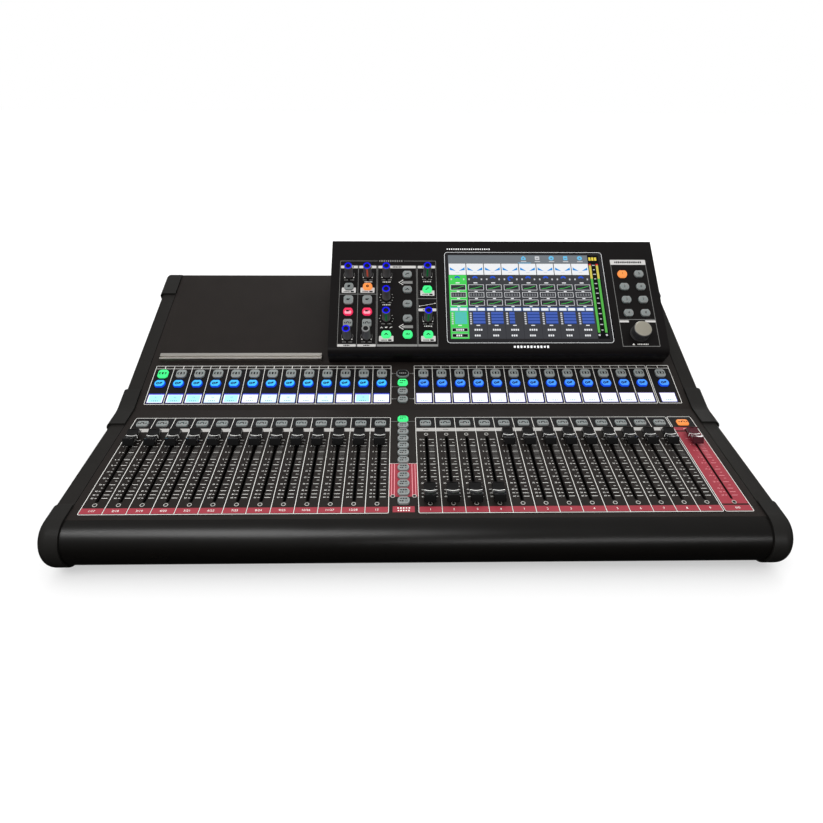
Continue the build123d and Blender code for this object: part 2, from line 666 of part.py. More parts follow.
def touch_screen():
    """The glass-fronted touch screen, set a hair below the fascia."""
    glass = RectangleRounded(*SCREEN_SIZE)
    return at(SCREEN_FACE, SCREEN_X, SCREEN_RUN) * plate(glass, -SCREEN_DEPTH, -0.2)


# ---- Fittings on the key panel ----
def channel_display():
    """One small display that fills its window from below."""
    return plate(Rectangle(*DISPLAY_SIZE), -4.5, -0.4)


def tablet_ledge():
    """The aluminium ledge that a tablet leans on: a flat bar with a groove behind its lip."""
    depth, height = LEDGE_DEPTH, LEDGE_HEIGHT
    bevel = 0.5
    lip, groove, groove_floor = 2.4, 5.2, 3.6
    corners = [(0, 0.05), (depth, 0.05), (depth, height - bevel), (depth - bevel, height)]
    corners += [(groove, height), (groove, groove_floor), (lip, groove_floor), (lip, height)]
    corners += [(bevel, height), (0, height - bevel)]
    bar = slab(side_view(corners), *LEDGE_X)
    return KEY_FACE.location * Pos(0, LEDGE_RUN, 0) * bar


# ---- Screws ----
def fader_screw_places():
    """The screws of the fader units, two in each strip."""
    return [at(FADER_FACE, x, run) for x in STRIP_XS for run in FADER_SCREW_RUNS]


def mode_screw_places():
    """The two screws beside the lower key column."""
    xs = (CENTRE_X - MODE_SCREW_OFFSET, CENTRE_X + MODE_SCREW_OFFSET)
    return [at(FADER_FACE, x, MODE_SCREW_RUN) for x in xs]


def rear_screw_places():
    """The screws along the top and bottom of the rear wall."""
    heights = (20.0, REAR[1] - 14.0)
    return [REAR_FACE.location * Pos(x, z, 0) for x in (-340, -170, 0, 170, 340) for z in heights]


def screw(length):
    """A low-headed cross-recess screw, its head resting on the surface."""
    body = plate(Circle(SCREW_HEAD), 0.02, 0.75) + plate(Circle(SCREW_SHANK), -length, 0.02)
    cross = Rectangle(3.0, 0.8) + Rectangle(0.8, 3.0)
    return body - plate(cross, 0.3, 1.0)


def screws():
    """Every screw: long ones in the fader units, short ones elsewhere."""
    short_places = mode_screw_places() + rear_screw_places()
    return spread(screw(12.0), fader_screw_places()) + spread(screw(6.0), short_places)


# ---- Rear sockets ----
def xlr_places(start, columns):
    """A two-row block of round sockets on the rear wall."""
    xs = [start + XLR_PITCH * i for i in range(columns)]
    return [REAR_FACE.location * Pos(x, z, 0) for z in XLR_ROWS for x in xs]


def jack_places():
    """A row of jack sockets under the inputs and outputs."""
    starts = [(INPUTS_START, INPUT_COLUMNS), (OUTPUTS_START, OUTPUT_COLUMNS)]
    xs = [start + XLR_PITCH * i for start, count in starts for i in range(count)]
    return [REAR_FACE.location * Pos(x, JACK_ROW, 0) for x in xs]


def port_places():
    """The data ports."""
    return [REAR_FACE.location * Pos(x, PORT_ROW, 0) for x in PORTS]


def rear_cutouts():
    """Tools for every hole of the rear wall."""
    depth = (-10.0, 10.0)
    wall = REAR_FACE.location
    tools = spread(plate(Circle(XLR_HOLE), *depth), xlr_places(INPUTS_START, INPUT_COLUMNS))
    tools += spread(plate(Circle(XLR_HOLE), *depth), xlr_places(OUTPUTS_START, OUTPUT_COLUMNS))
    tools += spread(plate(Circle(JACK_HOLE), *depth), jack_places())
    tools += spread(plate(Rectangle(PORT_HOLE, PORT_HOLE), *depth), port_places())
    tools.append(wall * Pos(*POWER_INLET_AT, 0) * plate(Rectangle(*INLET_HOLE), *depth))
    tools.append(wall * Pos(*ROCKER_AT, 0) * plate(Rectangle(*ROCKER_HOLE), *depth))
    tools += spread(plate(Circle(SCREW_HOLE), *depth), rear_screw_places())
    vent = plate(SlotOverall(26.0, 4.0, rotation=90), *depth)
    for start in (INPUTS_START, OUTPUTS_START):
        tools += [wall * Pos(start + VENT_PITCH * i, VENT_ROW, 0) * vent for i in range(VENTS)]
    return tools


def xlr_body():
    """The flange and barrel shared by the round sockets."""
    flange = RectangleRounded(25.6, 31.0, 3.0)
    flange -= [Pos(9.5 * side, 12.0 * side) * Circle(1.6) for side in (-1, 1)]
    return plate(flange, 0.02, 2.0) + plate(Circle(11.8), -20.0, 0.02)


def pin_ring(radius):
    """Three pin circles in a ring."""
    return [Rot(0, 0, 90 + 120 * i) * Pos(3.8, 0) * Circle(radius) for i in range(3)]


def xlr_female():
    """A round input socket: an island with three pin holes inside a ring groove."""
    socket = xlr_body() - plate(Circle(9.8) - Circle(8.2), -12.0, 3.0)
    return socket - [plate(hole, -10.0, 3.0) for hole in pin_ring(1.3)]


def xlr_male():
    """A round output plug: three pins in a cup."""
    socket = xlr_body() - plate(Circle(9.6), -13.0, 3.0)
    for pin in pin_ring(1.2):
        socket += plate(pin, -13.5, -1.0)
    return socket


def jack():
    """A quarter-inch jack socket with its ring nut."""
    nut = plate(RegularPolygon(7.0, 6), 0.02, 1.9) + plate(Circle(5.3), -22.0, 0.02)
    return nut - plate(Circle(3.3), -18.0, 3.0)


def data_port():
    """A square data port with a stepped mouth."""
    shell = plate(Rectangle(14.0, 14.0), -16.0, 1.2)
    return shell - plate(Rectangle(11.6, 7.6), -13.0, 3.0) - plate(Rectangle(6.0, 10.6), -13.0, 3.0)


def power_inlet():
    """The mains inlet: a shrouded recess with three blades."""
    mouth = chamfer(Rectangle(24.6, 17.0).vertices().group_by(Axis.Y)[-1], 4.0)
    inlet = plate(RectangleRounded(38.0, 32.0, 2.0), 0.02, 2.0)
    inlet += plate(Rectangle(30.0, 26.0), -24.0, 0.02)
    inlet -= plate(mouth, -18.0, 3.0)
    for x, z in ((-7.0, -2.0), (7.0, -2.0), (0.0, 2.6)):
        inlet += Pos(x, z, 0) * plate(Rectangle(2.0, 4.6), -18.5, -3.0)
    return inlet


def rocker_bezel():
    """The frame of the power switch, with bearings for the rocker's pins."""
    frame = plate(RectangleRounded(24.0, 33.0, 1.5), 0.02, 1.4)
    frame += plate(Rectangle(19.0, 28.0), -16.0, 0.02)
    frame -= plate(Rectangle(16.4, 25.8), -14.0, 3.0)
    return frame - Pos(0, 0, -ROCKER_DEPTH) * Cylinder(ROCKER_PIN + GAP, 30.0, rotation=(0, 90, 0))


def power_rocker():
    """The rocker, pressed at one end: two faces that meet in a ridge, and its pivot pins."""
    half_height, half_width, pin_half = 11.4, 7.6, 9.2
    slope = half_height * math.tan(math.radians(ROCKER_TILT))
    profile = [(-5.0, -half_height), (1.2, -half_height), (1.2 + slope, 0.0)]
    profile += [(1.2, half_height), (-5.0, half_height)]
    body = slab(side_view(profile), -half_width, half_width)
    body += Cylinder(ROCKER_PIN, 2 * pin_half, rotation=(0, 90, 0))
    pivot = Pos(-ROCKER_AT[0], REAR[0] - ROCKER_DEPTH, ROCKER_AT[1])
    return pivot * Rot(ROCKER_TILT, 0, 0) * body


def rear_sockets():
    """Every socket of the rear wall, and the switch's frame."""
    sockets = spread(xlr_female(), xlr_places(INPUTS_START, INPUT_COLUMNS))
    sockets += spread(xlr_male(), xlr_places(OUTPUTS_START, OUTPUT_COLUMNS))
    sockets += spread(jack(), jack_places()) + spread(data_port(), port_places())
    sockets.append(REAR_FACE.location * Pos(*POWER_INLET_AT, 0) * power_inlet())
    sockets.append(REAR_FACE.location * Pos(*ROCKER_AT, 0) * rocker_bezel())
    return sockets


# ---- Electronics ----
def board(plane, x, runs, rise=BOARD_TOP):
    """A circuit board parallel to a panel, with its upper face at rise."""
    return plane.location * block(x, runs, (rise - BOARD_THICK, rise))


def main_board():
    """The main board over the tray's floor, with its chips and standoffs."""
    low = FOOT_HEIGHT + TRAY_SHEET
    top = low + STANDOFF + BOARD_THICK
    front, back = [REAR[0] - distance for distance in MAIN_BOARD_BACK]
    card = block(MAIN_BOARD_X, (front, back), (low + STANDOFF, top))
    chip_y = (front + 60.0, front + 60.0 + CHIP_SIZE)
    for x in CHIP_XS:
        card += block((x, x + CHIP_SIZE), chip_y, (top, top + 2.5))
    for x in (MAIN_BOARD_X[0] + 10.0, MAIN_BOARD_X[1] - 10.0):
        for y in (front + 10.0, back - 10.0):
            card += Pos(x, y, low + STANDOFF / 2 + 0.01) * Cylinder(3.0, STANDOFF - 0.02)
    return card


def encoder():
    """The body of one rotary encoder, behind the fascia, bored for its shaft."""
    return plate(Rectangle(12.0, 12.0) - Circle(SHAFT_HOLE), -8.8, -SHEET - GAP)


def circuit_boards():
    """The key, display and edit boards, the encoders, and the main board."""
    edges = (-PANEL_HALF + 8, PANEL_HALF - 8)
    centre = (CENTRE_X - MODE_BOARD_HALF, CENTRE_X + MODE_BOARD_HALF)
    boards = [board(KEY_FACE, edges, KEY_BOARD_RUNS), board(FADER_FACE, edges, PFL_BOARD_RUNS)]
    boards.append(board(FADER_FACE, centre, MODE_BOARD_RUNS))
    boards.append(board(SCREEN_FACE, (MODULE_X[0] + 6, 38.0), EDIT_BOARD_RUNS))
    boards.append(board(SCREEN_FACE, (284.0, MODULE_X[1] - 6), EDIT_BOARD_RUNS))
    boards += spread(encoder(), [at(SCREEN_FACE, *knob) for knob in EDIT_KNOBS + (MAIN_KNOB_AT,)])
    boards.append(main_board())
    return boards


def power_supply():
    """The caged power supply on the tray's floor, vented on top."""
    low = FOOT_HEIGHT + TRAY_SHEET
    x = SUPPLY_X
    y = [REAR[0] - distance for distance in SUPPLY_BACK]
    z = (low + 0.02, low + SUPPLY_HEIGHT)
    inside = [(span[0] + 1, span[1] - 1) for span in (x, y, z)]
    cage = block(x, y, z) - block(*inside)
    vent = plate(SlotOverall(60.0, 4.0, rotation=90), -5.0, 5.0)
    return cage - [Pos(x[0] + 15 + 10 * i, sum(y) / 2, z[1]) * vent for i in range(11)]


def rubber_foot():
    """A round foot, recessed for its screw."""
    cone = Cone(10.0, 12.0, FOOT_HEIGHT - 0.02, align=(Align.CENTER, Align.CENTER, Align.MIN))
    return cone - Cylinder(4.5, 6.0)


def foot_places():
    """Three feet in front and three behind."""
    ys = (PRINT_LINE[0] + 48.0, REAR[0] - 34.0)
    return [Pos(x, y, 0) for x in (-330.0, 0.0, 330.0) for y in ys]


# ---- Write every node ----
write_faders()
for index, place in enumerate(EDIT_KNOBS):
    write(f"edit_knob_{index + 1}", [at(SCREEN_FACE, *place) * solid for solid in edit_knob()])
write("main_knob", [at(SCREEN_FACE, *MAIN_KNOB_AT) * solid for solid in main_knob()])
write("pfl_buttons", keys("pfl"))
write("mode_buttons", keys("mode"))
write("on_buttons", keys("on"))
write("sel_buttons", keys("sel"))
write("page_buttons", keys("page", "shift"))
write("edit_buttons", keys("edit", "square", "round"))
write("power_rocker", [power_rocker()])

write("base_tray", [base_tray()])
write("top_panel", [top_panel()])
write("front_armrest", [armrest()])
write("side_rails", side_rails())
write("corner_caps", both_sides(front_cap()) + both_sides(elbow_cap()) + both_sides(rear_cap()))
write("screen_housing", [screen_housing()])
write("screen_fascia", [screen_fascia()])
write("touch_screen", [touch_screen()])
write("channel_displays", spread(channel_display(), [at(KEY_FACE, x, DISPLAY_RUN) for x in STRIP_XS]))
write("tablet_ledge", [tablet_ledge()])
write("fader_units", [at(FADER_FACE, x, 0) * solid for x in STRIP_XS for solid in fader_unit()])
write("circuit_boards", circuit_boards())
write("power_supply", [power_supply()])
write("rear_sockets", rear_sockets())
write("rubber_feet", spread(rubber_foot(), foot_places()))
write("panel_screws", screws())
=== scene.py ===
import math

import bmesh
import bpy
from mathutils import Matrix, Vector


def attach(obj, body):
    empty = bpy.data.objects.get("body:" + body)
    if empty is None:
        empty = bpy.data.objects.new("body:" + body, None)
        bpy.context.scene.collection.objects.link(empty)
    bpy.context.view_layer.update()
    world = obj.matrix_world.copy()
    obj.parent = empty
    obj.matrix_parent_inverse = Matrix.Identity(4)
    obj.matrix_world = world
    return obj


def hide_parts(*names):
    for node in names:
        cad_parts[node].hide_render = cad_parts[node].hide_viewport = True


# The looks of the mixing console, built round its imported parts. Sizes are millimetres until a
# point is placed, and the world is in metres. On a slope, "run" is measured up the slope from
# its own zero line, and "rise" square to it, out of the surface.

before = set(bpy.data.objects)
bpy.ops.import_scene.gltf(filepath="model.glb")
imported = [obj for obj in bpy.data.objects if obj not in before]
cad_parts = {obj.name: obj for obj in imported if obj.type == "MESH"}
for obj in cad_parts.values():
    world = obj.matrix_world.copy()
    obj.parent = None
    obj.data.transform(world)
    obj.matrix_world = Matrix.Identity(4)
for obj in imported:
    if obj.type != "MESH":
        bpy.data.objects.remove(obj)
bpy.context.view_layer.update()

MM = 0.001
SCENE = bpy.context.scene

# ---- Driving dimensions, the same as the console's own ----
STRIP = 25.0
BANK = 13
CENTRE_GAP = 32.2
MAIN_WIDTH = 32.6
FADER_TILT = 8.0
KEY_TILT = 24.0
SCREEN_TILT = 41.6
ROLL_RADIUS = 27.0
FOOT_HEIGHT = 8.0
LIP = 8.0
FADER_RUN = 192.2
KEY_RUN = 279.0
MODULE_FOOT = 86.0
MODULE_STEP = 26.5
MODULE_LOW_RUN = -23.0

BANKS_HALF = (2 * BANK * STRIP + CENTRE_GAP + MAIN_WIDTH) / 2
LEFT_EDGE = -BANKS_HALF
LEFT_END = LEFT_EDGE + BANK * STRIP
RIGHT_EDGE = LEFT_END + CENTRE_GAP
RIGHT_END = RIGHT_EDGE + BANK * STRIP
CENTRE_X = (LEFT_END + RIGHT_EDGE) / 2
MAIN_EDGE = RIGHT_END + 2.0
MAIN_X = (MAIN_EDGE + BANKS_HALF) / 2
STRIP_EDGES = [LEFT_EDGE + i * STRIP for i in range(BANK)]
STRIP_EDGES += [RIGHT_EDGE + i * STRIP for i in range(BANK)]
STRIP_XS = [edge + STRIP / 2 for edge in STRIP_EDGES] + [MAIN_X]


def along(start, tilt, run, rise=0.0):
    """The side-view point (y, z) that lies run up a slope and rise out of it, from start."""
    a = math.radians(tilt)
    y = start[0] + run * math.cos(a) - rise * math.sin(a)
    z = start[1] + run * math.sin(a) + rise * math.cos(a)
    return y, z


class Slope:
    """A flat face of the console, tilted about X."""

    def __init__(self, start, tilt):
        self.start = start
        self.tilt = tilt

    def point(self, x, run, rise=0.0):
        y, z = along(self.start, self.tilt, run, rise)
        return Vector((x, y, z)) * MM


TOP_TO_FOLD = along((0.0, 0.0), FADER_TILT, LIP + FADER_RUN, ROLL_RADIUS)
ROLL_TO_REAR = along(TOP_TO_FOLD, KEY_TILT, KEY_RUN)[0]
ROLL = ((ROLL_RADIUS - ROLL_TO_REAR) / 2, FOOT_HEIGHT + ROLL_RADIUS)
PRINT_LINE = along(ROLL, FADER_TILT, LIP, ROLL_RADIUS)
FOLD = along(PRINT_LINE, FADER_TILT, FADER_RUN)
REAR = along(FOLD, KEY_TILT, KEY_RUN)
MODULE_EDGE = along(along(FOLD, KEY_TILT, MODULE_FOOT), SCREEN_TILT, 0.0, MODULE_STEP)
SCREEN = along(MODULE_EDGE, SCREEN_TILT, -MODULE_LOW_RUN)
FADERS = Slope(PRINT_LINE, FADER_TILT)
KEYS = Slope(FOLD, KEY_TILT)
MODULE = Slope(SCREEN, SCREEN_TILT)


# ---- Materials ----
def node_tree(name):
    """A new material with its shader, output and object coordinates."""
    material = bpy.data.materials.new(name)
    material.use_nodes = True
    nodes = material.node_tree.nodes
    shader = nodes["Principled BSDF"]
    place = nodes.new("ShaderNodeTexCoord")
    return material, nodes, material.node_tree.links, shader, place.outputs["Object"]


def noise(nodes, links, place, scale, detail=3.0):
    """A noise texture's value at a number of features per metre."""
    texture = nodes.new("ShaderNodeTexNoise")
    texture.inputs["Scale"].default_value = scale
    texture.inputs["Detail"].default_value = detail
    links.new(place, texture.inputs["Vector"])
    return texture.outputs["Fac"]


def ramp(nodes, links, value, low, high):
    """A value of 0 to 1 mapped to a range."""
    change = nodes.new("ShaderNodeMapRange")
    change.inputs["To Min"].default_value = low
    change.inputs["To Max"].default_value = high
    links.new(value, change.inputs["Value"])
    return change.outputs["Result"]


def blend_colour(nodes, links, factor, first, second):
    """Two colours mixed by a factor."""
    mix = nodes.new("ShaderNodeMix")
    mix.data_type = "RGBA"
    mix.inputs[6].default_value = (*first, 1.0)
    mix.inputs[7].default_value = (*second, 1.0)
    links.new(factor, mix.inputs[0])
    return mix.outputs[2]


def edge_mask(nodes, links, place, width):
    """1 along worn edges and 0 elsewhere: where a bevelled normal leaves the true one."""
    bevel = nodes.new("ShaderNodeBevel")
    bevel.samples = 4
    bevel.inputs["Radius"].default_value = width
    geometry = nodes.new("ShaderNodeNewGeometry")
    dot = nodes.new("ShaderNodeVectorMath")
    dot.operation = "DOT_PRODUCT"
    links.new(bevel.outputs["Normal"], dot.inputs[0])
    links.new(geometry.outputs["Normal"], dot.inputs[1])
    edge = nodes.new("ShaderNodeMapRange")
    edge.inputs["From Min"].default_value = 0.995
    edge.inputs["From Max"].default_value = 0.90
    links.new(dot.outputs["Value"], edge.inputs["Value"])
    patch = nodes.new("ShaderNodeMath")
    patch.operation = "MULTIPLY"
    links.new(edge.outputs["Result"], patch.inputs[0])
    links.new(noise(nodes, links, place, 90.0, 4.0), patch.inputs[1])
    return patch.outputs["Value"]


def finish(name, colour, rough=0.5, metal=0.0, grain=(1500.0, 0.08), spread=0.15, coat=0.0,
           glow=0.0, wear=0.0, round_edge=0.0, through=0.0, shine=0.5):
    """A moulded, painted or metal finish: mottled colour, uneven roughness, a fine grain.

    grain is its features per metre and its strength, spread how far the colour varies, wear how
    pale the edges rub, round_edge the radius in metres that a sharp edge seems to have, and
    shine the strength of its reflections."""
    material, nodes, links, shader, place = node_tree(name)
    dark = [c * (1 - spread) for c in colour]
    light = [min(1.0, c * (1 + spread)) for c in colour]
    mottle = noise(nodes, links, place, 35.0, 5.0)
    shade = blend_colour(nodes, links, mottle, dark, light)
    if wear > 0:
        worn = blend_colour(nodes, links, edge_mask(nodes, links, place, 0.0006), (0, 0, 0),
                            [min(1.0, c + wear) for c in colour])
        add = nodes.new("ShaderNodeMix")
        add.data_type = "RGBA"
        add.blend_type = "ADD"
        add.inputs[0].default_value = 1.0
        links.new(shade, add.inputs[6])
        links.new(worn, add.inputs[7])
        shade = add.outputs[2]
    links.new(shade, shader.inputs["Base Color"])
    smudge = noise(nodes, links, place, 14.0, 6.0)
    links.new(ramp(nodes, links, smudge, rough * 0.82, min(1.0, rough * 1.18)),
              shader.inputs["Roughness"])
    shader.inputs["Metallic"].default_value = metal
    shader.inputs["Specular IOR Level"].default_value = shine
    shader.inputs["Coat Weight"].default_value = coat
    shader.inputs["Coat Roughness"].default_value = 0.05
    shader.inputs["Subsurface Weight"].default_value = through
    shader.inputs["Subsurface Radius"].default_value = (0.002, 0.001, 0.001)
    if glow > 0:
        links.new(shade, shader.inputs["Emission Color"])
        shader.inputs["Emission Strength"].default_value = glow
    bump = nodes.new("ShaderNodeBump")
    bump.inputs["Strength"].default_value = grain[1]
    bump.inputs["Distance"].default_value = 0.0004
    links.new(noise(nodes, links, place, grain[0], 2.0), bump.inputs["Height"])
    if round_edge > 0:
        bevel = nodes.new("ShaderNodeBevel")
        bevel.samples = 4
        bevel.inputs["Radius"].default_value = round_edge
        links.new(bevel.outputs["Normal"], bump.inputs["Normal"])
    links.new(bump.outputs["Normal"], shader.inputs["Normal"])
    return material


def brushed(name, colour, rough, stretch, round_edge=0.0003):
    """Metal with fine lines: noise squeezed along one axis."""
    material, nodes, links, shader, place = node_tree(name)
    squeeze = nodes.new("ShaderNodeVectorMath")
    squeeze.operation = "MULTIPLY"
    squeeze.inputs[1].default_value = stretch
    links.new(place, squeeze.inputs[0])
    lines = noise(nodes, links, squeeze.outputs["Vector"], 400.0, 4.0)
    dark = [c * 0.86 for c in colour]
    links.new(blend_colour(nodes, links, lines, dark, colour), shader.inputs["Base Color"])
    links.new(ramp(nodes, links, lines, rough * 0.7, rough * 1.3), shader.inputs["Roughness"])
    shader.inputs["Metallic"].default_value = 1.0
    bump = nodes.new("ShaderNodeBump")
    bump.inputs["Strength"].default_value = 0.10
    bump.inputs["Distance"].default_value = 0.0002
    links.new(lines, bump.inputs["Height"])
    bevel = nodes.new("ShaderNodeBevel")
    bevel.samples = 4
    bevel.inputs["Radius"].default_value = round_edge
    links.new(bevel.outputs["Normal"], bump.inputs["Normal"])
    links.new(bump.outputs["Normal"], shader.inputs["Normal"])
    return material


def lit(name, colour, glow=1.0, body=0.25, rough=0.35):
    """A lit surface: a little uneven, with a faint skin over the light."""
    material, nodes, links, shader, place = node_tree(name)
    shader.inputs["Roughness"].default_value = rough
    shader.inputs["Specular IOR Level"].default_value = 0.15
    uneven = noise(nodes, links, place, 260.0, 2.0)
    dim = [c * 0.90 for c in colour]
    shade = blend_colour(nodes, links, uneven, dim, colour)
    links.new(shade, shader.inputs["Emission Color"])
    links.new(blend_colour(nodes, links, uneven, [c * body * 0.8 for c in colour],
                           [c * body for c in colour]), shader.inputs["Base Color"])
    shader.inputs["Emission Strength"].default_value = glow
    bump = nodes.new("ShaderNodeBump")
    bump.inputs["Strength"].default_value = 0.04
    bump.inputs["Distance"].default_value = 0.0003
    links.new(noise(nodes, links, place, 1800.0, 2.0), bump.inputs["Height"])
    links.new(bump.outputs["Normal"], shader.inputs["Normal"])
    return material


def screen_glass(name):
    """Dark polished glass with faint finger smears."""
    material, nodes, links, shader, place = node_tree(name)
    smear = noise(nodes, links, place, 22.0, 7.0)
    links.new(blend_colour(nodes, links, smear, (0.004, 0.004, 0.005), (0.008, 0.008, 0.010)),
              shader.inputs["Base Color"])
    links.new(ramp(nodes, links, smear, 0.05, 0.16), shader.inputs["Roughness"])
    return material


def tone(red, green, blue):
    """A colour picked on a 0 to 255 display scale, as linear light."""
    return tuple((c / 255.0) ** 2.2 for c in (red, green, blue))


PALETTE = {
    "case": finish("case_paint", (0.0150, 0.0136, 0.0122), 0.50, grain=(2600.0, 0.22), wear=0.03,
                   round_edge=0.0008, shine=0.14),
    "housing": finish("housing_paint", (0.0070, 0.0062, 0.0070), 0.42, grain=(2600.0, 0.2),
                      wear=0.02, round_edge=0.0010, shine=0.12),
    "panel": finish("panel_paint", (0.0170, 0.0136, 0.0120), 0.48, grain=(3000.0, 0.20), wear=0.02,
                    round_edge=0.0004, shine=0.12),
    "armrest": finish("armrest_skin", (0.0048, 0.0042, 0.0036), 0.30, grain=(900.0, 0.08),
                      shine=0.22),
    "cap": finish("cap_plastic", (0.0150, 0.0142, 0.0130), 0.40, grain=(2000.0, 0.14), wear=0.02,
                  shine=0.16),
    "fascia": finish("fascia_overlay", (0.0074, 0.0062, 0.0062), 0.38, grain=(2400.0, 0.05),
                     round_edge=0.0006, shine=0.12),
    "ink": finish("ink_white", tone(236, 235, 230), 0.6, grain=(3000.0, 0.10), spread=0.06),
    "grey_ink": finish("ink_grey", tone(128, 128, 126), 0.6, grain=(3000.0, 0.10), spread=0.06),
    "module_label": finish("ink_label_bright", tone(202, 200, 198), 0.55, grain=(3000.0, 0.08),
                           spread=0.04, shine=0.2),
    # White frame ink; its glow is painted brightness, so the printed lines shine a little though they are no
    # lamp.
    "line_ink_painted_glow": finish("ink_frame_painted_glow", tone(238, 239, 240), 0.6, grain=(3000.0, 0.1), spread=0.04,
                       glow=0.25),
    "label": finish("ink_label", tone(172, 170, 167), 0.55, grain=(3000.0, 0.08), spread=0.04,
                    shine=0.2),
    "dark_ink": finish("ink_dark", (0.0082, 0.0074, 0.0080), 0.45, grain=(2600.0, 0.10),
                       shine=0.14),
    "slot_ink": finish("ink_slot", (0.0016, 0.0015, 0.0014), 0.6, grain=(2600.0, 0.10), shine=0.08),
    "red_ink": finish("ink_red", tone(148, 56, 66), 0.5, grain=(2600.0, 0.08), spread=0.06,
                      shine=0.15),
    "pink_ink": finish("ink_pink", tone(226, 150, 158), 0.5, grain=(2600.0, 0.08), spread=0.06),
    "key": finish("key_silicone", tone(128, 133, 132), 0.55, grain=(1500.0, 0.10), spread=0.07,
                  through=0.25, shine=0.25),
    # A lighter copy of the key silicone for the top chamfer of grey keys: a painted highlight where the edge
    # catches the light.
    "key_rim_painted_highlight": finish("key_silicone_painted_highlight", tone(148, 152, 151), 0.5, grain=(1500.0, 0.10),
                      spread=0.05, through=0.25, shine=0.3),
    "key_ink": finish("key_legend", (0.006, 0.007, 0.008), 0.6, grain=(1500.0, 0.1), shine=0.1),
    "key_black": finish("key_black", (0.006, 0.006, 0.0065), 0.5, grain=(1500.0, 0.1), shine=0.2),
    "green": lit("key_green_lit", tone(70, 248, 138), 0.95),
    "blue": lit("key_blue_lit", tone(66, 190, 255), 0.95),
    "right_blue": lit("key_blue_lit_right", tone(72, 150, 255), 0.95),
    "deep_blue": lit("key_blue_rim", tone(24, 82, 236), 0.8),
    "orange": lit("key_orange_lit", tone(255, 150, 78), 0.92),
    "red": lit("key_red_lit", tone(238, 52, 92), 0.95),
    "pink": lit("key_pink_lit", tone(255, 160, 178), 0.92),
    "glow_ink": finish("key_lit_legend", (0.008, 0.020, 0.075), 0.6, grain=(1500.0, 0.1),
                       shine=0.1),
    "lcd_cyan": lit("display_cyan", tone(168, 238, 244), 1.0),
    "lcd_white": lit("display_white", tone(246, 247, 252), 1.05),
    "lcd_edge": lit("display_edge", tone(36, 34, 170), 0.7),
    "lcd_pale": lit("display_pale", tone(222, 249, 252), 1.0),
    "lcd_band": lit("display_band", tone(54, 70, 196), 0.85),
    "lcd_lavender": lit("display_lavender", tone(126, 130, 226), 0.9),
    "lcd_lilac": lit("display_lilac", tone(196, 188, 232), 0.9),
    "lcd_mark": lit("display_mark", tone(128, 176, 186), 0.8),
    "knob": finish("knob_black", (0.0400, 0.0390, 0.0390), 0.42, grain=(1600.0, 0.12), wear=0.03,
                   shine=0.3),
    "knob_grip": finish("knob_grey", (0.150, 0.146, 0.149), 0.45, grain=(1600.0, 0.12), wear=0.03,
                        shine=0.3),
    "ring": lit("knob_ring_lit", tone(0, 0, 250), 0.95, body=0.05),
    "ring_edge": lit("knob_ring_edge", tone(60, 60, 236), 0.8, body=0.1),
    "ring_off": finish("knob_ring_off", tone(128, 129, 128), 0.45, spread=0.05),
    "mark_green": lit("knob_mark_green", tone(22, 120, 62), 0.5),
    "mark_orange": lit("knob_mark_orange", tone(190, 78, 62), 0.6),
    "fader": finish("fader_cap_black", (0.0026, 0.0025, 0.0026), 0.12, grain=(1200.0, 0.008),
                    coat=0.2, shine=0.3),
    "fader_red": finish("fader_cap_red", (0.062, 0.0030, 0.0100), 0.10, grain=(1200.0, 0.008),
                        coat=0.5, through=0.3),
    # The faders' white index line is real print, and its glow is painted brightness that makes it shine though
    # it is no lamp.
    "line": finish("fader_line_painted_glow", tone(240, 240, 236), 0.35, grain=(1200.0, 0.04), spread=0.04,
                   glow=0.5),
    "lever": brushed("lever_steel", (0.45, 0.45, 0.44), 0.35, (1, 1, 12)),
    "champagne": brushed("knob_disc", (0.74, 0.70, 0.58), 0.45, (1, 12, 12)),
    "chrome": finish("knob_rim", (0.75, 0.72, 0.66), 0.14, metal=1.0, grain=(900.0, 0.03)),
    "ledge": brushed("ledge_aluminium", (0.74, 0.71, 0.66), 0.34, (0.3, 14, 14)),
    "screw": finish("screw_black_oxide", (0.030, 0.030, 0.030), 0.35, metal=0.6, grain=(1600.0, 0.1)),
    # Pale ring round the front screws' heads: a painted highlight, the light caught by their rims.
    "screw_rim_painted_highlight": finish("screw_rim_painted_highlight", tone(188, 186, 180), 0.4, spread=0.08),
    "steel": brushed("zinc_steel", (0.50, 0.50, 0.49), 0.36, (1, 12, 1)),
    "rubber": finish("foot_rubber", (0.012, 0.012, 0.012), 0.85, grain=(1500.0, 0.3)),
    "socket": finish("socket_moulding", (0.016, 0.016, 0.016), 0.42, grain=(1800.0, 0.12),
                     wear=0.04, round_edge=0.0004),
    "unit": finish("unit_black_zinc", (0.0040, 0.0040, 0.0042), 0.5, metal=0.3,
                   grain=(1400.0, 0.12), shine=0.1),
    "board": finish("board_green", (0.012, 0.075, 0.030), 0.45, grain=(900.0, 0.3), spread=0.3),
    "glass": screen_glass("touch_glass"),
    "floor": finish("floor_paint", (0.46, 0.46, 0.46), 0.9, grain=(60.0, 0.02), spread=0.005,
                    shine=0.0, glow=1.05),
}

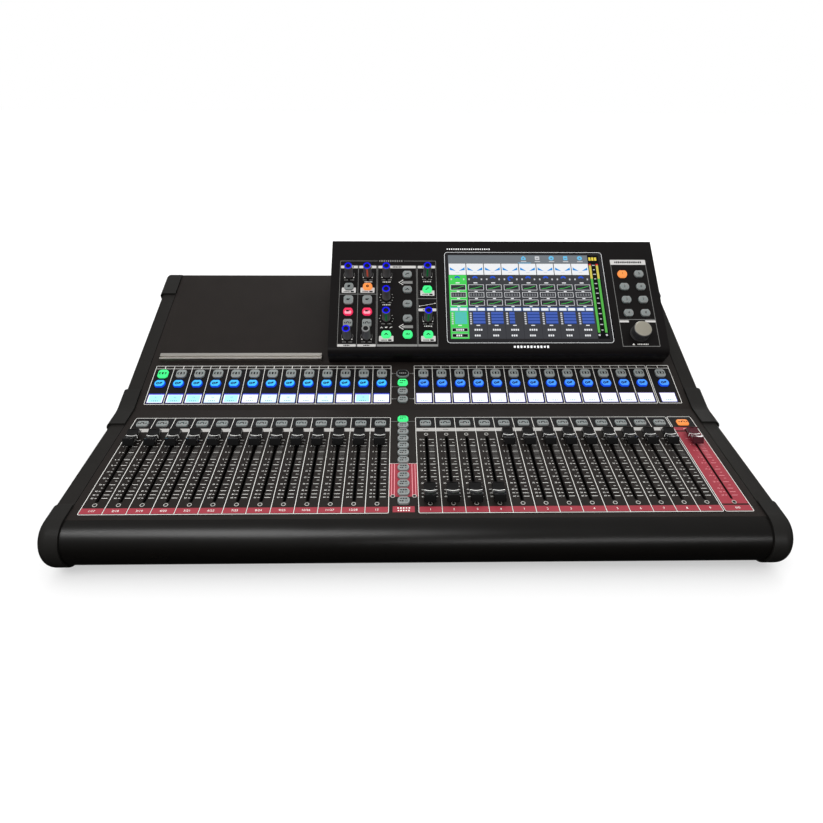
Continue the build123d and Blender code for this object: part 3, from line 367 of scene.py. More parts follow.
# Colours of the picture on the touch screen
PICTURE = {
    "bar": tone(118, 124, 130), "cell": tone(66, 67, 71), "edge": tone(150, 152, 156),
    "white": tone(245, 247, 250), "wing": tone(44, 146, 226), "green": tone(76, 214, 92),
    "dark": tone(16, 17, 20), "blue": tone(74, 100, 184), "ring": tone(40, 88, 214), "pale": tone(176, 206, 226),
    "stripe": tone(34, 62, 128), "teal": tone(88, 198, 186), "icon": tone(112, 196, 240),
    "yellow": tone(216, 202, 92), "meter": tone(90, 185, 80), "red": tone(224, 66, 66),
    "label": tone(206, 208, 212), "grey": tone(120, 122, 126), "page": tone(52, 53, 57),
    "gold": tone(246, 220, 84),
}
for shade_name, shade_colour in PICTURE.items():
    PALETTE["ui_" + shade_name] = lit("picture_" + shade_name, shade_colour, 0.95, body=0.05,
                                      rough=0.12)


# ---- Outlines, in millimetres round their own centre ----
def arc(cx, cy, radius, start, end, steps):
    """Points along an arc between two angles in degrees."""
    angles = [math.radians(start + (end - start) * i / steps) for i in range(steps + 1)]
    return [(cx + radius * math.cos(a), cy + radius * math.sin(a)) for a in angles]


def rounded(width, height, corner, steps=6):
    """A rectangle with round corners."""
    x, y = width / 2 - corner, height / 2 - corner
    points = []
    for cx, cy, start in ((x, y, 0), (-x, y, 90), (-x, -y, 180), (x, -y, 270)):
        points += arc(cx, cy, corner, start, start + 90, steps)
    return points


def rectangle(width, height):
    """A plain rectangle."""
    x, y = width / 2, height / 2
    return [(x, y), (-x, y), (-x, -y), (x, -y)]


def clipped(width, height, across, steps=48):
    """A circle of diameter across, cut flat to width and height."""
    turns = [math.acos(min(1.0, width / across)), math.asin(min(1.0, height / across))]
    corners = [sign * turn + base for turn in turns for sign in (-1, 1) for base in (0, math.pi)]
    angles = [2 * math.pi * i / steps for i in range(steps)] + corners
    points = []
    for a in sorted({round(angle % (2 * math.pi), 5) for angle in angles}):
        x, y = across / 2 * math.cos(a), across / 2 * math.sin(a)
        points.append((max(-width / 2, min(width / 2, x)), max(-height / 2, min(height / 2, y))))
    return points


def octagon(width, height, cut):
    """A rectangle with its corners cut off."""
    x, y = width / 2, height / 2
    return [(x, -y + cut), (x, y - cut), (x - cut, y), (cut - x, y), (-x, y - cut), (-x, cut - y),
            (cut - x, -y), (x - cut, -y)]


def circle(radius, steps=32):
    """A full circle."""
    return arc(0, 0, radius, 0, 360, steps)[:-1]


def shrunk(points, inset):
    """An outline round the origin, drawn in by about inset all round."""
    result = []
    for x, y in points:
        length = math.hypot(x, y)
        share = max(0.0, length - inset) / length
        result.append((x * share, y * share))
    return result


def stroke(points, width):
    """A line of some width along points, as an outline."""
    left, right = [], []
    for i, (x, y) in enumerate(points):
        ax, ay = points[max(i - 1, 0)]
        bx, by = points[min(i + 1, len(points) - 1)]
        length = math.hypot(bx - ax, by - ay) or 1.0
        nx, ny = -(by - ay) / length * width / 2, (bx - ax) / length * width / 2
        left.append((x + nx, y + ny))
        right.append((x - nx, y - ny))
    return right + left[::-1]


# ---- Piles of faces that become one piece ----
SHARP = 32.0  # degrees between faces that still shade as one


class Pile:
    """Faces gathered for one piece, with a finish for each."""

    def __init__(self):
        self.verts = []
        self.faces = []
        self.finishes = []

    def add(self, verts, faces, material):
        base = len(self.verts)
        self.verts += [tuple(v) for v in verts]
        for face in faces:
            self.faces.append([base + i for i in face])
            self.finishes.append(material)

    def rings(self, slope, centre, outlines, material, top_finish=None, rim_finish=None):
        """Skins a stack of (outline, rise) rings, each with the same number of points."""
        x0, run0 = centre
        count = len(outlines[0][0])
        last = len(outlines) - 1
        verts = [slope.point(x0 + x, run0 + y, rise) for outline, rise in outlines
                 for x, y in outline]
        faces = []
        for a in range(0, last * count, count):
            b = a + count
            faces += [(a + i, a + (i + 1) % count, b + (i + 1) % count, b + i) for i in range(count)]
        bands = self.finishes
        self.add(verts, faces + [tuple(range(count))[::-1]], material)
        if rim_finish:
            bands[-count - 1:-1] = [rim_finish] * count
        self.faces.append([len(self.verts) - count + i for i in range(count)])
        self.finishes.append(top_finish or material)

    def band(self, slope, centre, outer, inner, material, low=-0.04, high=0.05):
        """A flat ring between two outlines with the same number of points."""
        x0, run0 = centre
        count = len(outer)
        verts = [slope.point(x0 + x, run0 + y, rise) for rise in (low, high)
                 for outline in (outer, inner) for x, y in outline]
        faces = []
        for i in range(count):
            j = (i + 1) % count
            a, b, c, d = (k * count for k in range(4))
            faces += [(c + i, c + j, d + j, d + i), (a + i, b + i, b + j, a + j)]
            faces += [(a + i, a + j, c + j, c + i), (b + i, d + i, d + j, b + j)]
        self.add(verts, faces, material)

    def loop(self, slope, xs, runs, corner, width, material, **heights):
        """A closed line round a rectangle with round corners."""
        wide, tall = xs[1] - xs[0], runs[1] - runs[0]
        outer = rounded(wide + width, tall + width, corner + width / 2)
        inner = rounded(wide - width, tall - width, max(corner - width / 2, 0.05))
        self.band(slope, (sum(xs) / 2, sum(runs) / 2), outer, inner, material, **heights)

    def prism(self, slope, centre, outline, material, low=-0.04, high=0.05):
        """A flat shape with a little thickness, such as printed ink."""
        self.rings(slope, centre, [(outline, low), (outline, high)], material)

    def bar(self, slope, x, runs, width, material, **heights):
        """A line up the slope."""
        low, high = runs
        self.prism(slope, (x, (low + high) / 2), rectangle(width, high - low), material, **heights)

    def rung(self, slope, xs, run, width, material, **heights):
        """A line across the slope."""
        low, high = xs
        self.prism(slope, ((low + high) / 2, run), rectangle(high - low, width), material, **heights)

    def piece(self, name, body, nodes=()):
        """Makes the piece, rides it on a body, and lets it stand for CAD nodes."""
        mesh = bpy.data.meshes.new(name)
        mesh.from_pydata(self.verts, [], self.faces)
        order = list(dict.fromkeys(self.finishes))
        for key in order:
            mesh.materials.append(PALETTE[key])
        mesh.polygons.foreach_set("material_index", [order.index(key) for key in self.finishes])
        mesh.update()
        mesh.shade_smooth()
        mesh.set_sharp_from_angle(angle=math.radians(SHARP))
        obj = bpy.data.objects.new(name, mesh)
        SCENE.collection.objects.link(obj)
        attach(obj, body)
        if nodes:
            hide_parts(*nodes)
        return obj


GLYPHS = {}


def glyph(text, height):
    """Numerals as flat faces round their own centre: points and faces, in millimetres."""
    if (text, height) not in GLYPHS:
        curve = bpy.data.curves.new("numeral", "FONT")
        curve.body = text
        curve.size = height * 1.4
        curve.align_x = "CENTER"
        curve.align_y = "CENTER"
        curve.resolution_u = 2
        curve.extrude = 0.045
        holder = bpy.data.objects.new("numeral", curve)
        SCENE.collection.objects.link(holder)
        bpy.context.view_layer.update()
        solid = bmesh.new()
        solid.from_mesh(holder.evaluated_get(bpy.context.evaluated_depsgraph_get()).to_mesh())
        bmesh.ops.remove_doubles(solid, verts=solid.verts, dist=0.0005)
        solid.verts.index_update()
        points = [tuple(v.co) for v in solid.verts]
        faces = [tuple(v.index for v in face.verts) for face in solid.faces]
        GLYPHS[text, height] = (points, faces)
        solid.free()
        bpy.data.objects.remove(holder)
    return GLYPHS[text, height]


def write_number(pile, slope, centre, text, height, material, rise=0.0):
    """A numeral printed on a slope."""
    points, faces = glyph(text, height)
    x0, run0 = centre
    pile.add([slope.point(x0 + x, run0 + y, rise + z) for x, y, z in points], faces, material)


# ---- Small signs, drawn as strokes; each is a list of lines round its own centre ----
SIGNS = {
    "select": [[(-2.5, 1.4), (-4.4, 1.4), (-4.4, -1.4), (-2.5, -1.4)], [(-1.1, 1.4), (1.1, 1.4)],
               [(-1.1, 0), (1.1, 0)], [(-1.1, -1.4), (1.1, -1.4)],
               [(2.5, 1.4), (4.4, 1.4), (4.4, -1.4), (2.5, -1.4)]],
    "power": [arc(-2.2, -0.2, 1.6, 130, 410, 12), [(-2.2, 0.2), (-2.2, 1.9)],
              [(1.0, -1.6), (1.0, 1.4)], [(1.0, 1.4), (3.6, 1.4)], [(1.0, -0.1), (3.2, -0.1)]],
    "phones": [arc(0, -1.0, 2.3, 0, 180, 10), [(-2.3, -0.6), (-2.3, -1.9)],
               [(2.3, -0.6), (2.3, -1.9)], [(-4.9, 0.9), (-4.9, -1.7)], [(4.9, 0.9), (4.9, -1.7)]],
    "bars": [[(-2.4, -1.4), (-2.4, 0.2)], [(-0.8, -1.4), (-0.8, 1.4)], [(0.8, -1.4), (0.8, -0.2)],
             [(2.4, -1.4), (2.4, 0.8)]],
    "curve": [[(-3.0, -1.2), (-1.4, -0.9), (-0.4, 1.0), (0.4, 1.0), (1.4, -0.9), (3.0, -1.2)]],
    "gate": [[(-3.0, -1.3), (-0.6, -1.3), (-0.6, 1.2), (3.0, 1.2)]],
    "knee": [[(-3.0, -1.4), (0.2, 0.9), (3.0, 1.3)]],
    "phase": [arc(0, 0, 1.6, 0, 360, 12), [(-2.0, -2.0), (2.0, 2.0)]],
    "lines": [[(-2.8, 0.9), (2.8, 0.9)], [(-2.8, -0.5), (1.2, -0.5)]],
    "target": [arc(0, 0, 1.8, 0, 360, 12), [(-0.5, 0), (0.5, 0)]],
}
SIGN_LINE = 1.35


def draw_sign(pile, slope, centre, sign, material, rise=0.0, size=1.0):
    """A sign printed on a surface that lies rise over the slope."""
    for points in SIGNS[sign]:
        scaled = [(x * size, y * size) for x, y in points]
        pile.prism(slope, centre, stroke(scaled, SIGN_LINE * size), material, rise - 0.04, rise + 0.06)


def dashes(pile, slope, centre, count, pitch, size, material, rise=0.0):
    """A row of small bars that stands for a caption."""
    x, run = centre
    width, height = size
    for i in range(count):
        place = (x + (i - (count - 1) / 2) * pitch, run)
        tall = height * (1.0 if i % 3 else 0.8)
        pile.prism(slope, place, rectangle(width, tall), material, rise - 0.04, rise + 0.06)


# ---- Prints on the fader panel; runs are up from the strips' bottom line ----
LINE = 0.58
FRAME_TOP = 174.0
SLOT_RUNS = (18.8, 133.0)
SLOT_WIDTH = 2.6
SLOT_BORDER = 0.8
SCALE = ((127.2, "10"), (115.3, "5"), (103.8, "0"), (90.5, "5"), (80.2, "10"), (68.9, "15"),
         (57.8, "20"), (46.9, "30"), (36.2, "40"), (30.4, "50"), (25.0, "60"))
MINOR_TICKS = (121.2, 85.0, 73.9, 63.4, 53.1, 41.5)
FINE_TICKS = (112.6, 109.9, 107.2, 101.1, 98.4, 95.7, 93.0)
RED_LABEL = (1.0, 9.5)
WHITE_LABEL = (144.3, 151.2)
PFL_PATCH = (153.2, 173.4)
PFL_RUN = 160.0
STRIP_NUMBERS = [f"{i + 1}/{i + 17}" for i in range(12)] + ["13"]
STRIP_NUMBERS += [str(i + 1) for i in range(4)] + [str(i + 1) for i in range(9)] + ["0/0"]


def strip_scale(pile, x, ink, fine, low):
    """The level scale on both sides of one fader's slot, printed from the height low up."""
    heights = {"low": low, "high": low + 0.05}
    for run, text in SCALE:
        write_number(pile, FADERS, (x - 7.4, run), text, 2.0, ink, low)
        pile.rung(FADERS, (x - 4.7, x - 2.6), run, 0.55, ink, **heights)
        pile.rung(FADERS, (x + 2.8, x + 9.0), run, 0.55, ink, **heights)
    for run in MINOR_TICKS:
        pile.rung(FADERS, (x - 4.5, x - 2.8), run, 0.45, ink, **heights)
        pile.rung(FADERS, (x + 6.2, x + 8.8), run, 0.45, ink, **heights)
    for run in FINE_TICKS:
        pile.rung(FADERS, (x - 4.1, x - 3.0), run, 0.3, fine, **heights)
        pile.rung(FADERS, (x + 3.0, x + 8.8), run, 0.3, fine, **heights)


def around_slot(xs, runs, side):
    """One half of a rectangle round a fader's slot, as an outline from the slot's middle."""
    low, high = SLOT_RUNS
    radius = SLOT_WIDTH / 2
    half = arc(0, low + radius, radius, 270, 360, 6) + arc(0, high - radius, radius, 0, 90, 6)
    edge = xs[1] if side > 0 else -xs[0]
    points = half + [(0, runs[1]), (edge, runs[1]), (edge, runs[0]), (0, runs[0])]
    points = [(x * side, y) for x, y in points]
    return points[::-1] if side > 0 else points


def strip_print(pile, x, half, text, main=False):
    """The labels and the scale of one strip."""
    label = rectangle(2 * half, RED_LABEL[1] - RED_LABEL[0])
    middle = sum(RED_LABEL) / 2
    pile.prism(FADERS, (x, middle), label, "red_ink")
    write_number(pile, FADERS, (x, middle), text, 3.0, "ink", rise=0.05)
    patch = rectangle(2 * half, PFL_PATCH[1] - PFL_PATCH[0])
    pile.prism(FADERS, (x, sum(PFL_PATCH) / 2), patch, "dark_ink", high=0.03)
    band = rectangle(2 * half, WHITE_LABEL[1] - WHITE_LABEL[0])
    pile.prism(FADERS, (x, sum(WHITE_LABEL) / 2), band, "red_ink" if main else "label")
    dashes(pile, FADERS, (x, sum(WHITE_LABEL) / 2), 4, 1.7, (0.9, 1.5), "ink" if main else "key_ink",
           rise=0.03)
    if main:
        for side in (-1, 1):
            outline = around_slot((-half, half), (11.8, 141.5), side)
            pile.prism(FADERS, (x, 0), outline, "red_ink")
    else:
        length = SLOT_RUNS[1] - SLOT_RUNS[0]
        edge = rounded(SLOT_WIDTH, length, SLOT_WIDTH / 2 - 0.01)
        outer = SLOT_WIDTH + 2 * SLOT_BORDER
        border = rounded(outer, length + 2 * SLOT_BORDER, outer / 2 - 0.01)
        pile.band(FADERS, (x, sum(SLOT_RUNS) / 2), border, edge, "slot_ink", high=0.03)
    if main:
        strip_scale(pile, x, "pink_ink", "pink_ink", low=0.05)
    else:
        strip_scale(pile, x, "ink", "grey_ink", low=0.0)


def fader_prints():
    """Frames, lines, labels and scales of the two banks, the main strip and the mode column."""
    pile = Pile()
    for start in (LEFT_EDGE, RIGHT_EDGE):
        pile.loop(FADERS, (start, start + BANK * STRIP), (0, FRAME_TOP), 1.6, LINE, "ink")
        for i in range(1, BANK):
            pile.bar(FADERS, start + i * STRIP, (LINE / 2, FRAME_TOP - LINE / 2), LINE, "ink")
    pile.loop(FADERS, (MAIN_EDGE, BANKS_HALF), (0, FRAME_TOP), 1.6, LINE, "ink")
    for x, text in zip(STRIP_XS[:-1], STRIP_NUMBERS):
        strip_print(pile, x, STRIP / 2 - LINE, text)
    strip_print(pile, MAIN_X, (BANKS_HALF - MAIN_EDGE) / 2 - LINE, STRIP_NUMBERS[-1], main=True)
    column = RIGHT_EDGE - LEFT_END - LINE
    low, high = 25.3, 81.4
    pile.prism(FADERS, (CENTRE_X, (low + high) / 2), rectangle(column, high - low), "red_ink")
    pile.rung(FADERS, (LEFT_END, RIGHT_EDGE), high, LINE, "ink")
    for offset in (-13.3, -10.2, 9.9, 13.4):
        pile.bar(FADERS, CENTRE_X + offset, (low, high - LINE), 0.7, "pink_ink", high=0.08)
    pile.rung(FADERS, (LEFT_END, RIGHT_EDGE), 165.5, LINE, "grey_ink")
    pile.prism(FADERS, (CENTRE_X, 5.75), rectangle(23.5, 8.9), "red_ink")
    dashes(pile, FADERS, (CENTRE_X, 7.6), 5, 3.0, (1.6, 2.0), "ink", rise=0.03)
    dashes(pile, FADERS, (CENTRE_X, 3.9), 5, 2.8, (1.5, 2.0), "ink", rise=0.03)
    pile.piece("fader_panel_print", "root")


# ---- Prints on the key panel; runs are up from the fold ----
KEY_FRAME = (10.0, 79.2)
KEY_LINE = 74.0
ARROWS = ((18.7, (-1, 1), 8.4), (40.1, (-1,), 4.3), (64.5, (-1, 1), 9.4))  # run, sides and start


def key_prints():
    """Frames and lines round the displays and the on and select keys."""
    pile = Pile()
    low, high = KEY_FRAME
    blocks = [(LEFT_EDGE, LEFT_END, BANK), (RIGHT_EDGE, RIGHT_END, BANK), (MAIN_EDGE, BANKS_HALF, 1)]
    for start, end, strips in blocks:
        pile.loop(KEYS, (start, end), (low, high), 1.2, LINE, "ink")
        pile.rung(KEYS, (start + LINE / 2, end - LINE / 2), KEY_LINE, LINE * 0.8, "ink")
        for i in range(strips):
            width = (end - start) / strips
            x = start + (i + 0.5) * width
            if i:
                pile.bar(KEYS, start + i * width, (low + LINE / 2, high - LINE / 2), LINE, "ink")
            pile.bar(KEYS, x, (KEY_LINE, high - LINE / 2), 0.8, "ink")
            patch = rectangle(width - LINE - 0.4, 44.5)
            pile.prism(KEYS, (x, 51.0), patch, "dark_ink", high=0.03)
    for run, sides, inner in ARROWS:
        for side in sides:
            start = CENTRE_X + side * inner
            end = CENTRE_X + side * (CENTRE_GAP / 2 - 1.2)
            pile.rung(KEYS, sorted((start, end)), run, 0.5, "grey_ink")
            head = [(side * 1.6, 0), (-side * 0.6, 1.3), (-side * 0.6, -1.3)]
            pile.prism(KEYS, (end - side * 0.6, run), head[::side], "grey_ink")
    pile.piece("key_panel_print", "root")


# ---- Prints on the screen module; runs are up from the picture's bottom edge ----
KNOB_XS = (-92.6, -66.0, -38.9, -9.2, 19.4)
EDIT_KNOBS = (
    (KNOB_XS[0], 104.0), (KNOB_XS[1], 104.2), (KNOB_XS[2], 104.2), (KNOB_XS[4], 105.0),
    (KNOB_XS[2], 66.4), (KNOB_XS[2], 32.1), (KNOB_XS[4], 31.9), (KNOB_XS[0], 3.7),
    (KNOB_XS[1], 3.7),
)
GLASS_X, GLASS_RUN = 161.2, 68.6
GLASS_SIZE = (233.4, 152.0)
MAIN_KNOB_AT = (313.8, 7.5)


def knob_print(pile, x, run, dotted):
    """The arcs, ticks and end marks printed round one knob."""
    if dotted:
        for angle in range(-60, 241, 30):
            a = math.radians(angle)
            place = (x + 9.4 * math.cos(a), run + 9.4 * math.sin(a))
            pile.prism(MODULE, place, rectangle(0.9, 0.9), "ink")
    else:
        for start, end in ((155, 215), (-35, 25)):
            pile.prism(MODULE, (x, run), stroke(arc(0, 0, 7.8, start, end, 8), 0.42), "grey_ink")
        for angle in (-35, 215):
            a = math.radians(angle)
            place = (x + 7.8 * math.cos(a), run + 7.8 * math.sin(a))
            pile.prism(MODULE, place, circle(0.85, 12), "ink", high=0.08)
    for side in (-1, 1):
        dashes(pile, MODULE, (x + side * 4.4, run - 8.6), 3, 1.9, (1.2, 1.3), "grey_ink")


def name_plate(pile, x, run, width=20.0):
    """A white label plate under a key, with small marks for its function."""
    pile.prism(MODULE, (x, run), rounded(width, 8.6, 1.0, 3), "module_label")
    dashes(pile, MODULE, (x - 3.2, run - 2.4), 5, 1.7, (1.1, 1.8), "key_ink", rise=0.03)
    pile.prism(MODULE, (x + 5.0, run - 2.4), rectangle(4.6, 2.4), "key_ink", high=0.08)


def header(pile, xs, run, height, material="module_label", marks=6):
    """A filled title bar."""
    middle = sum(xs) / 2
    pile.prism(MODULE, (middle, run), rounded(xs[1] - xs[0], height, 0.8, 3), material)
    dashes(pile, MODULE, (middle, run), marks, 2.2, (1.5, height * 0.55), "key_ink", rise=0.03)


def edit_prints():
    """The channel-edit block left of the screen."""
    pile = Pile()
    left, a, b, c, right = -106.0, -79.6, -52.4, 4.8, 32.4
    for x, high in ((left, 126.0), (a, 120.0), (right, 126.0)):
        pile.bar(MODULE, x, (-12.0, high), 0.5, "grey_ink")
    for x in (b, c):
        for side in (-0.75, 0.75):
            pile.bar(MODULE, x + side, (-12.0, 120.0), 0.5, "grey_ink")
    for xs in ((left, -52.0), (-14.0, right)):
        pile.rung(MODULE, xs, 128.0, 0.5, "grey_ink")
    for x, turn in ((left + 2.0, 90), (right - 2.0, 0)):
        pile.prism(MODULE, (x, 126.0), stroke(arc(0, 0, 2.0, turn, turn + 90, 5), 0.5), "grey_ink")
    dashes(pile, MODULE, (-33.0, 128.0), 11, 3.2, (1.7, 3.0), "grey_ink")
    for xs in ((left + 1, a - 1), (a + 1, b - 1.5), (b + 1.5, c - 1.5), (c + 1.5, right - 1)):
        header(pile, xs, 117.6, 4.4)
    for xs in ((left, a - 1), (a + 1, b - 1)):
        header(pile, xs, -10.3, 3.8, marks=4)
    for xs in ((b + 1, c - 1), (c + 1, right)):
        pile.prism(MODULE, (sum(xs) / 2, -10.3), rectangle(xs[1] - xs[0], 3.4), "grey_ink")
    for xs in ((left, a), (a, b)):
        pile.rung(MODULE, xs, 71.7, 0.7, "grey_ink")
    pile.rung(MODULE, (c + 1, right), 64.3, 0.7, "grey_ink")
    slope_sign = [(-11.0, -2.6), (-7.0, -1.6), (-3.0, -1.2), (2.0, 0.2), (6.0, 0.6), (11.0, 2.0)]
    pile.prism(MODULE, (18.8, 54.6), stroke(slope_sign, 0.45), "ink")
    for x, y in (slope_sign[0], slope_sign[-1]):
        pile.prism(MODULE, (18.8 + x, 54.6 + y), circle(0.8, 12), "ink", high=0.08)
    header(pile, (c + 1.5, right - 1), 46.0, 4.4)
    for i, (x, run) in enumerate(EDIT_KNOBS):
        knob_print(pile, x, run, dotted=i in (4, 5))
    for x, run in ((KNOB_XS[0], 78.3), (KNOB_XS[1], 78.3), (KNOB_XS[4], 73.5)):
        name_plate(pile, x, run)
    for x in (KNOB_XS[2], KNOB_XS[4]):
        name_plate(pile, x, 0.2)
    for run in (91.4, 18.9):
        head = stroke([(3.0, 4.0), (-3.0, 0.0), (3.0, -4.0)], 1.1)
        pile.prism(MODULE, (KNOB_XS[3] - 9.0, run), head, "ink")
        pile.prism(MODULE, (KNOB_XS[3] + 0.5, run), rectangle(14.0, 4.4), "grey_ink")
        pile.rung(MODULE, (KNOB_XS[3] - 8.0, KNOB_XS[3] - 4.0), run, 0.8, "ink")
    for x, run in [EDIT_KNOBS[i] for i in (2, 3, 4, 6)]:
        dashes(pile, MODULE, (x, run - 12.2), 5, 2.4, (1.3, 1.8), "ink")
    for offset, sign in ((-6.6, "curve"), (0.0, "lines"), (6.6, "knee")):
        draw_sign(pile, MODULE, (KNOB_XS[2] + offset, 17.8), sign, "ink", size=0.62)
    dashes(pile, MODULE, (KNOB_XS[1] + 1, 92.2), 6, 1.9, (1.2, 1.4), "ink")
    pile.piece("edit_print", "root")


def screen_prints():
    """The frame round the screen and the user-key block on its right."""
    pile = Pile()
    width, height = (side / 2 - 1.0 for side in GLASS_SIZE)
    xs = (GLASS_X - width, GLASS_X + width)
    runs = (GLASS_RUN - height, GLASS_RUN + height)
    # The frame round the glass and the marks above and below it use the glowing white ink: painted brightness.
    pile.loop(MODULE, xs, runs, 4.5, 0.45, "line_ink_painted_glow", low=-0.24, high=-0.12)
    dashes(pile, MODULE, (81.0, 149.0), 20, 3.25, (1.6, 2.4), "line_ink_painted_glow")
    dashes(pile, MODULE, (GLASS_X, -12.6), 11, 4.6, (2.6, 3.6), "line_ink_painted_glow")
    left, right = 288.6, 340.0
    for x in (left, right):
        pile.bar(MODULE, x, (-12.0, 122.0), 0.6, "grey_ink")
    pile.rung(MODULE, (left, right), -12.0, 0.8, "grey_ink")
    pile.prism(MODULE, ((left + right) / 2, 126.4), rounded(right - left + 0.6, 8.6, 1.0, 3), "module_label")
    dashes(pile, MODULE, ((left + right) / 2, 126.4), 15, 2.7, (1.9, 3.2), "key_ink", rise=0.03)
    pile.rung(MODULE, (left, right), 30.4, 0.8, "grey_ink")
    for xs in ((left, 302.0), (325.0, right)):
        pile.rung(MODULE, xs, 27.4, 3.2, "module_label")
    pile.prism(MODULE, (303.6, -8.8), [(1.9, -1.2), (0, 1.6), (-1.9, -1.2)], "ink")
    dashes(pile, MODULE, (316.6, -8.8), 7, 2.3, (1.4, 2.0), "ink")
    pile.piece("screen_print", "root")


# ---- Keys ----
KEY_TOP = 2.5
KEY_BOTTOM = -5.0
KEY_FLANGE_TOP = -2.7
KEY_FLANGE = 1.0
SHIFT_AT = (CENTRE_X, 63.2)
SHAPES = {
    "pfl": rounded(14.2, 10.6, 2.6, 6),
    "mode": clipped(13.6, 11.2, 13.6),
    "shift": octagon(17.0, 12.6, 3.6),
    "on": clipped(14.6, 12.2, 14.6),
    "sel": clipped(13.6, 14.4, 16.0),
    "edit": clipped(13.2, 11.2, 13.6),
    "square": rounded(13.0, 12.0, 3.0, 6),
}


def key(pile, slope, centre, shape, side="key", top=None, rim=None):
    """One key: a flange under the panel, straight sides and a softly rounded, level top."""
    outline = SHAPES[shape]
    wide = shrunk(outline, -KEY_FLANGE)
    layers = [(wide, KEY_BOTTOM), (wide, KEY_FLANGE_TOP), (outline, KEY_FLANGE_TOP)]
    layers += [(outline, KEY_TOP - 1.1), (shrunk(outline, 0.12), KEY_TOP - 0.6)]
    layers += [(shrunk(outline, 0.40), KEY_TOP - 0.2), (shrunk(outline, 0.9), KEY_TOP)]
    # Grey keys get the lighter finish on their top chamfer: painted highlight.
    rim = rim or ("key_rim_painted_highlight" if side == "key" else side)
    pile.rings(slope, centre, layers, side, top_finish=top or side, rim_finish=rim)


def legend(pile, slope, centre, number):
    """Two short rows of marks, the second with a numeral."""
    x, run = centre
    dashes(pile, slope, (x, run + 1.9), 3, 2.7, (2.0, 1.8), "key_ink", rise=KEY_TOP)
    dashes(pile, slope, (x - 2.2, run - 1.9), 2, 2.4, (1.7, 1.8), "key_ink", rise=KEY_TOP)
    write_number(pile, slope, (x + 2.8, run - 1.9), number, 2.4, "key_ink", KEY_TOP)


def write_keys():
    """Every key, one piece to a group that presses together."""
    pile = Pile()
    for x in STRIP_XS:
        key(pile, FADERS, (x, PFL_RUN), "pfl", "orange" if x == MAIN_X else "key")
        draw_sign(pile, FADERS, (x, PFL_RUN), "phones", "key_ink", KEY_TOP)
    pile.piece("pfl_keys", "pfl_buttons", ["pfl_buttons"])

    pile = Pile()
    for i in range(12):
        place = (CENTRE_X, 18.0 + 13.8 * i)
        key(pile, FADERS, place, "mode", "green" if i == 11 else "key")
        legend(pile, FADERS, place, str(12 - i))
    pile.piece("mode_keys", "mode_buttons", ["mode_buttons"])

    pile = Pile()
    for x in STRIP_XS:
        key(pile, KEYS, (x, 45.5), "on", "deep_blue", "blue" if x < CENTRE_X else "right_blue")
        draw_sign(pile, KEYS, (x, 45.5), "power", "glow_ink", KEY_TOP)
    pile.piece("on_keys", "on_buttons", ["on_buttons"])

    pile = Pile()
    for i, x in enumerate(STRIP_XS):
        key(pile, KEYS, (x, 63.5), "sel", "key" if i else "green")
        draw_sign(pile, KEYS, (x, 63.5), "select", "key_ink", KEY_TOP)
    pile.piece("select_keys", "sel_buttons", ["sel_buttons"])

    pile = Pile()
    for run, colour, number in ((17.0, "key", "3"), (31.3, "key", "2"), (47.2, "green", "1")):
        key(pile, KEYS, (CENTRE_X, run), "mode", colour)
        legend(pile, KEYS, (CENTRE_X, run), number)
    key(pile, KEYS, SHIFT_AT, "shift", "key", "key_black")
    dashes(pile, KEYS, SHIFT_AT, 4, 2.6, (1.7, 2.2), "grey_ink", rise=KEY_TOP)
    pile.piece("page_keys", "page_buttons", ["page_buttons"])

    pile = Pile()
    for x, run, shape, colour, sign in EDIT_KEYS:
        key(pile, MODULE, (x, run), shape, colour)
        if colour == "red":
            glow = rounded(9.4, 5.0, 1.8, 4)
            pile.prism(MODULE, (x, run - 2.1), glow, "pink", KEY_TOP - 0.04, KEY_TOP + 0.03)
        draw_sign(pile, MODULE, (x, run), sign, "key_ink", KEY_TOP, 0.9)
    for column, x in enumerate((303.3, 327.2)):
        for row, run in enumerate((105.6, 84.0, 62.4, 40.6)):
            number = 4 * column + row + 1
            key(pile, MODULE, (x, run), "edit", "orange" if number == 1 else "key")
            write_number(pile, MODULE, (x, run), str(number), 4.0, "key_ink", KEY_TOP)
    pile.piece("edit_keys", "edit_buttons", ["edit_buttons"])


EDIT_KEYS = (
    (KNOB_XS[0], 83.8, "edit", "key", "phase"), (KNOB_XS[1], 83.8, "edit", "orange", "target"),
    (KNOB_XS[0], 61.6, "sel", "key", "lines"), (KNOB_XS[1], 61.6, "sel", "key", "lines"),
    (KNOB_XS[0], 42.9, "edit", "red", "lines"), (KNOB_XS[1], 42.9, "edit", "red", "lines"),
    (KNOB_XS[0], 24.2, "square", "key", "phones"), (KNOB_XS[1], 24.2, "square", "key", "phones"),
    (KNOB_XS[2], 6.3, "edit", "green", "curve"), (KNOB_XS[3], 6.5, "edit", "green", "bars"),
    (KNOB_XS[3], 31.6, "edit", "key", "gate"), (KNOB_XS[3], 55.2, "edit", "key", "bars"),
    (KNOB_XS[3], 78.8, "edit", "key", "curve"), (KNOB_XS[3], 104.3, "edit", "key", "knee"),
    (KNOB_XS[4], 6.3, "edit", "green", "curve"), (KNOB_XS[4], 79.4, "edit", "green", "gate"),
)


# ---- Faders ----
FADER_HALF = 14.5
FADER_CREST = 10.5
FADER_WIDE = 6.8
FADER_LOW = 4.6
FADER_HIGH = 12.0
FADER_DISH = 2.8
FADER_SAG = 1.2
FADER_LINE = 0.72
FADER_RIB = (3.2, 16.0, 1.2)
CARRIAGE = (8.2, 12.0)
BLADE = (1.5, 8.0)


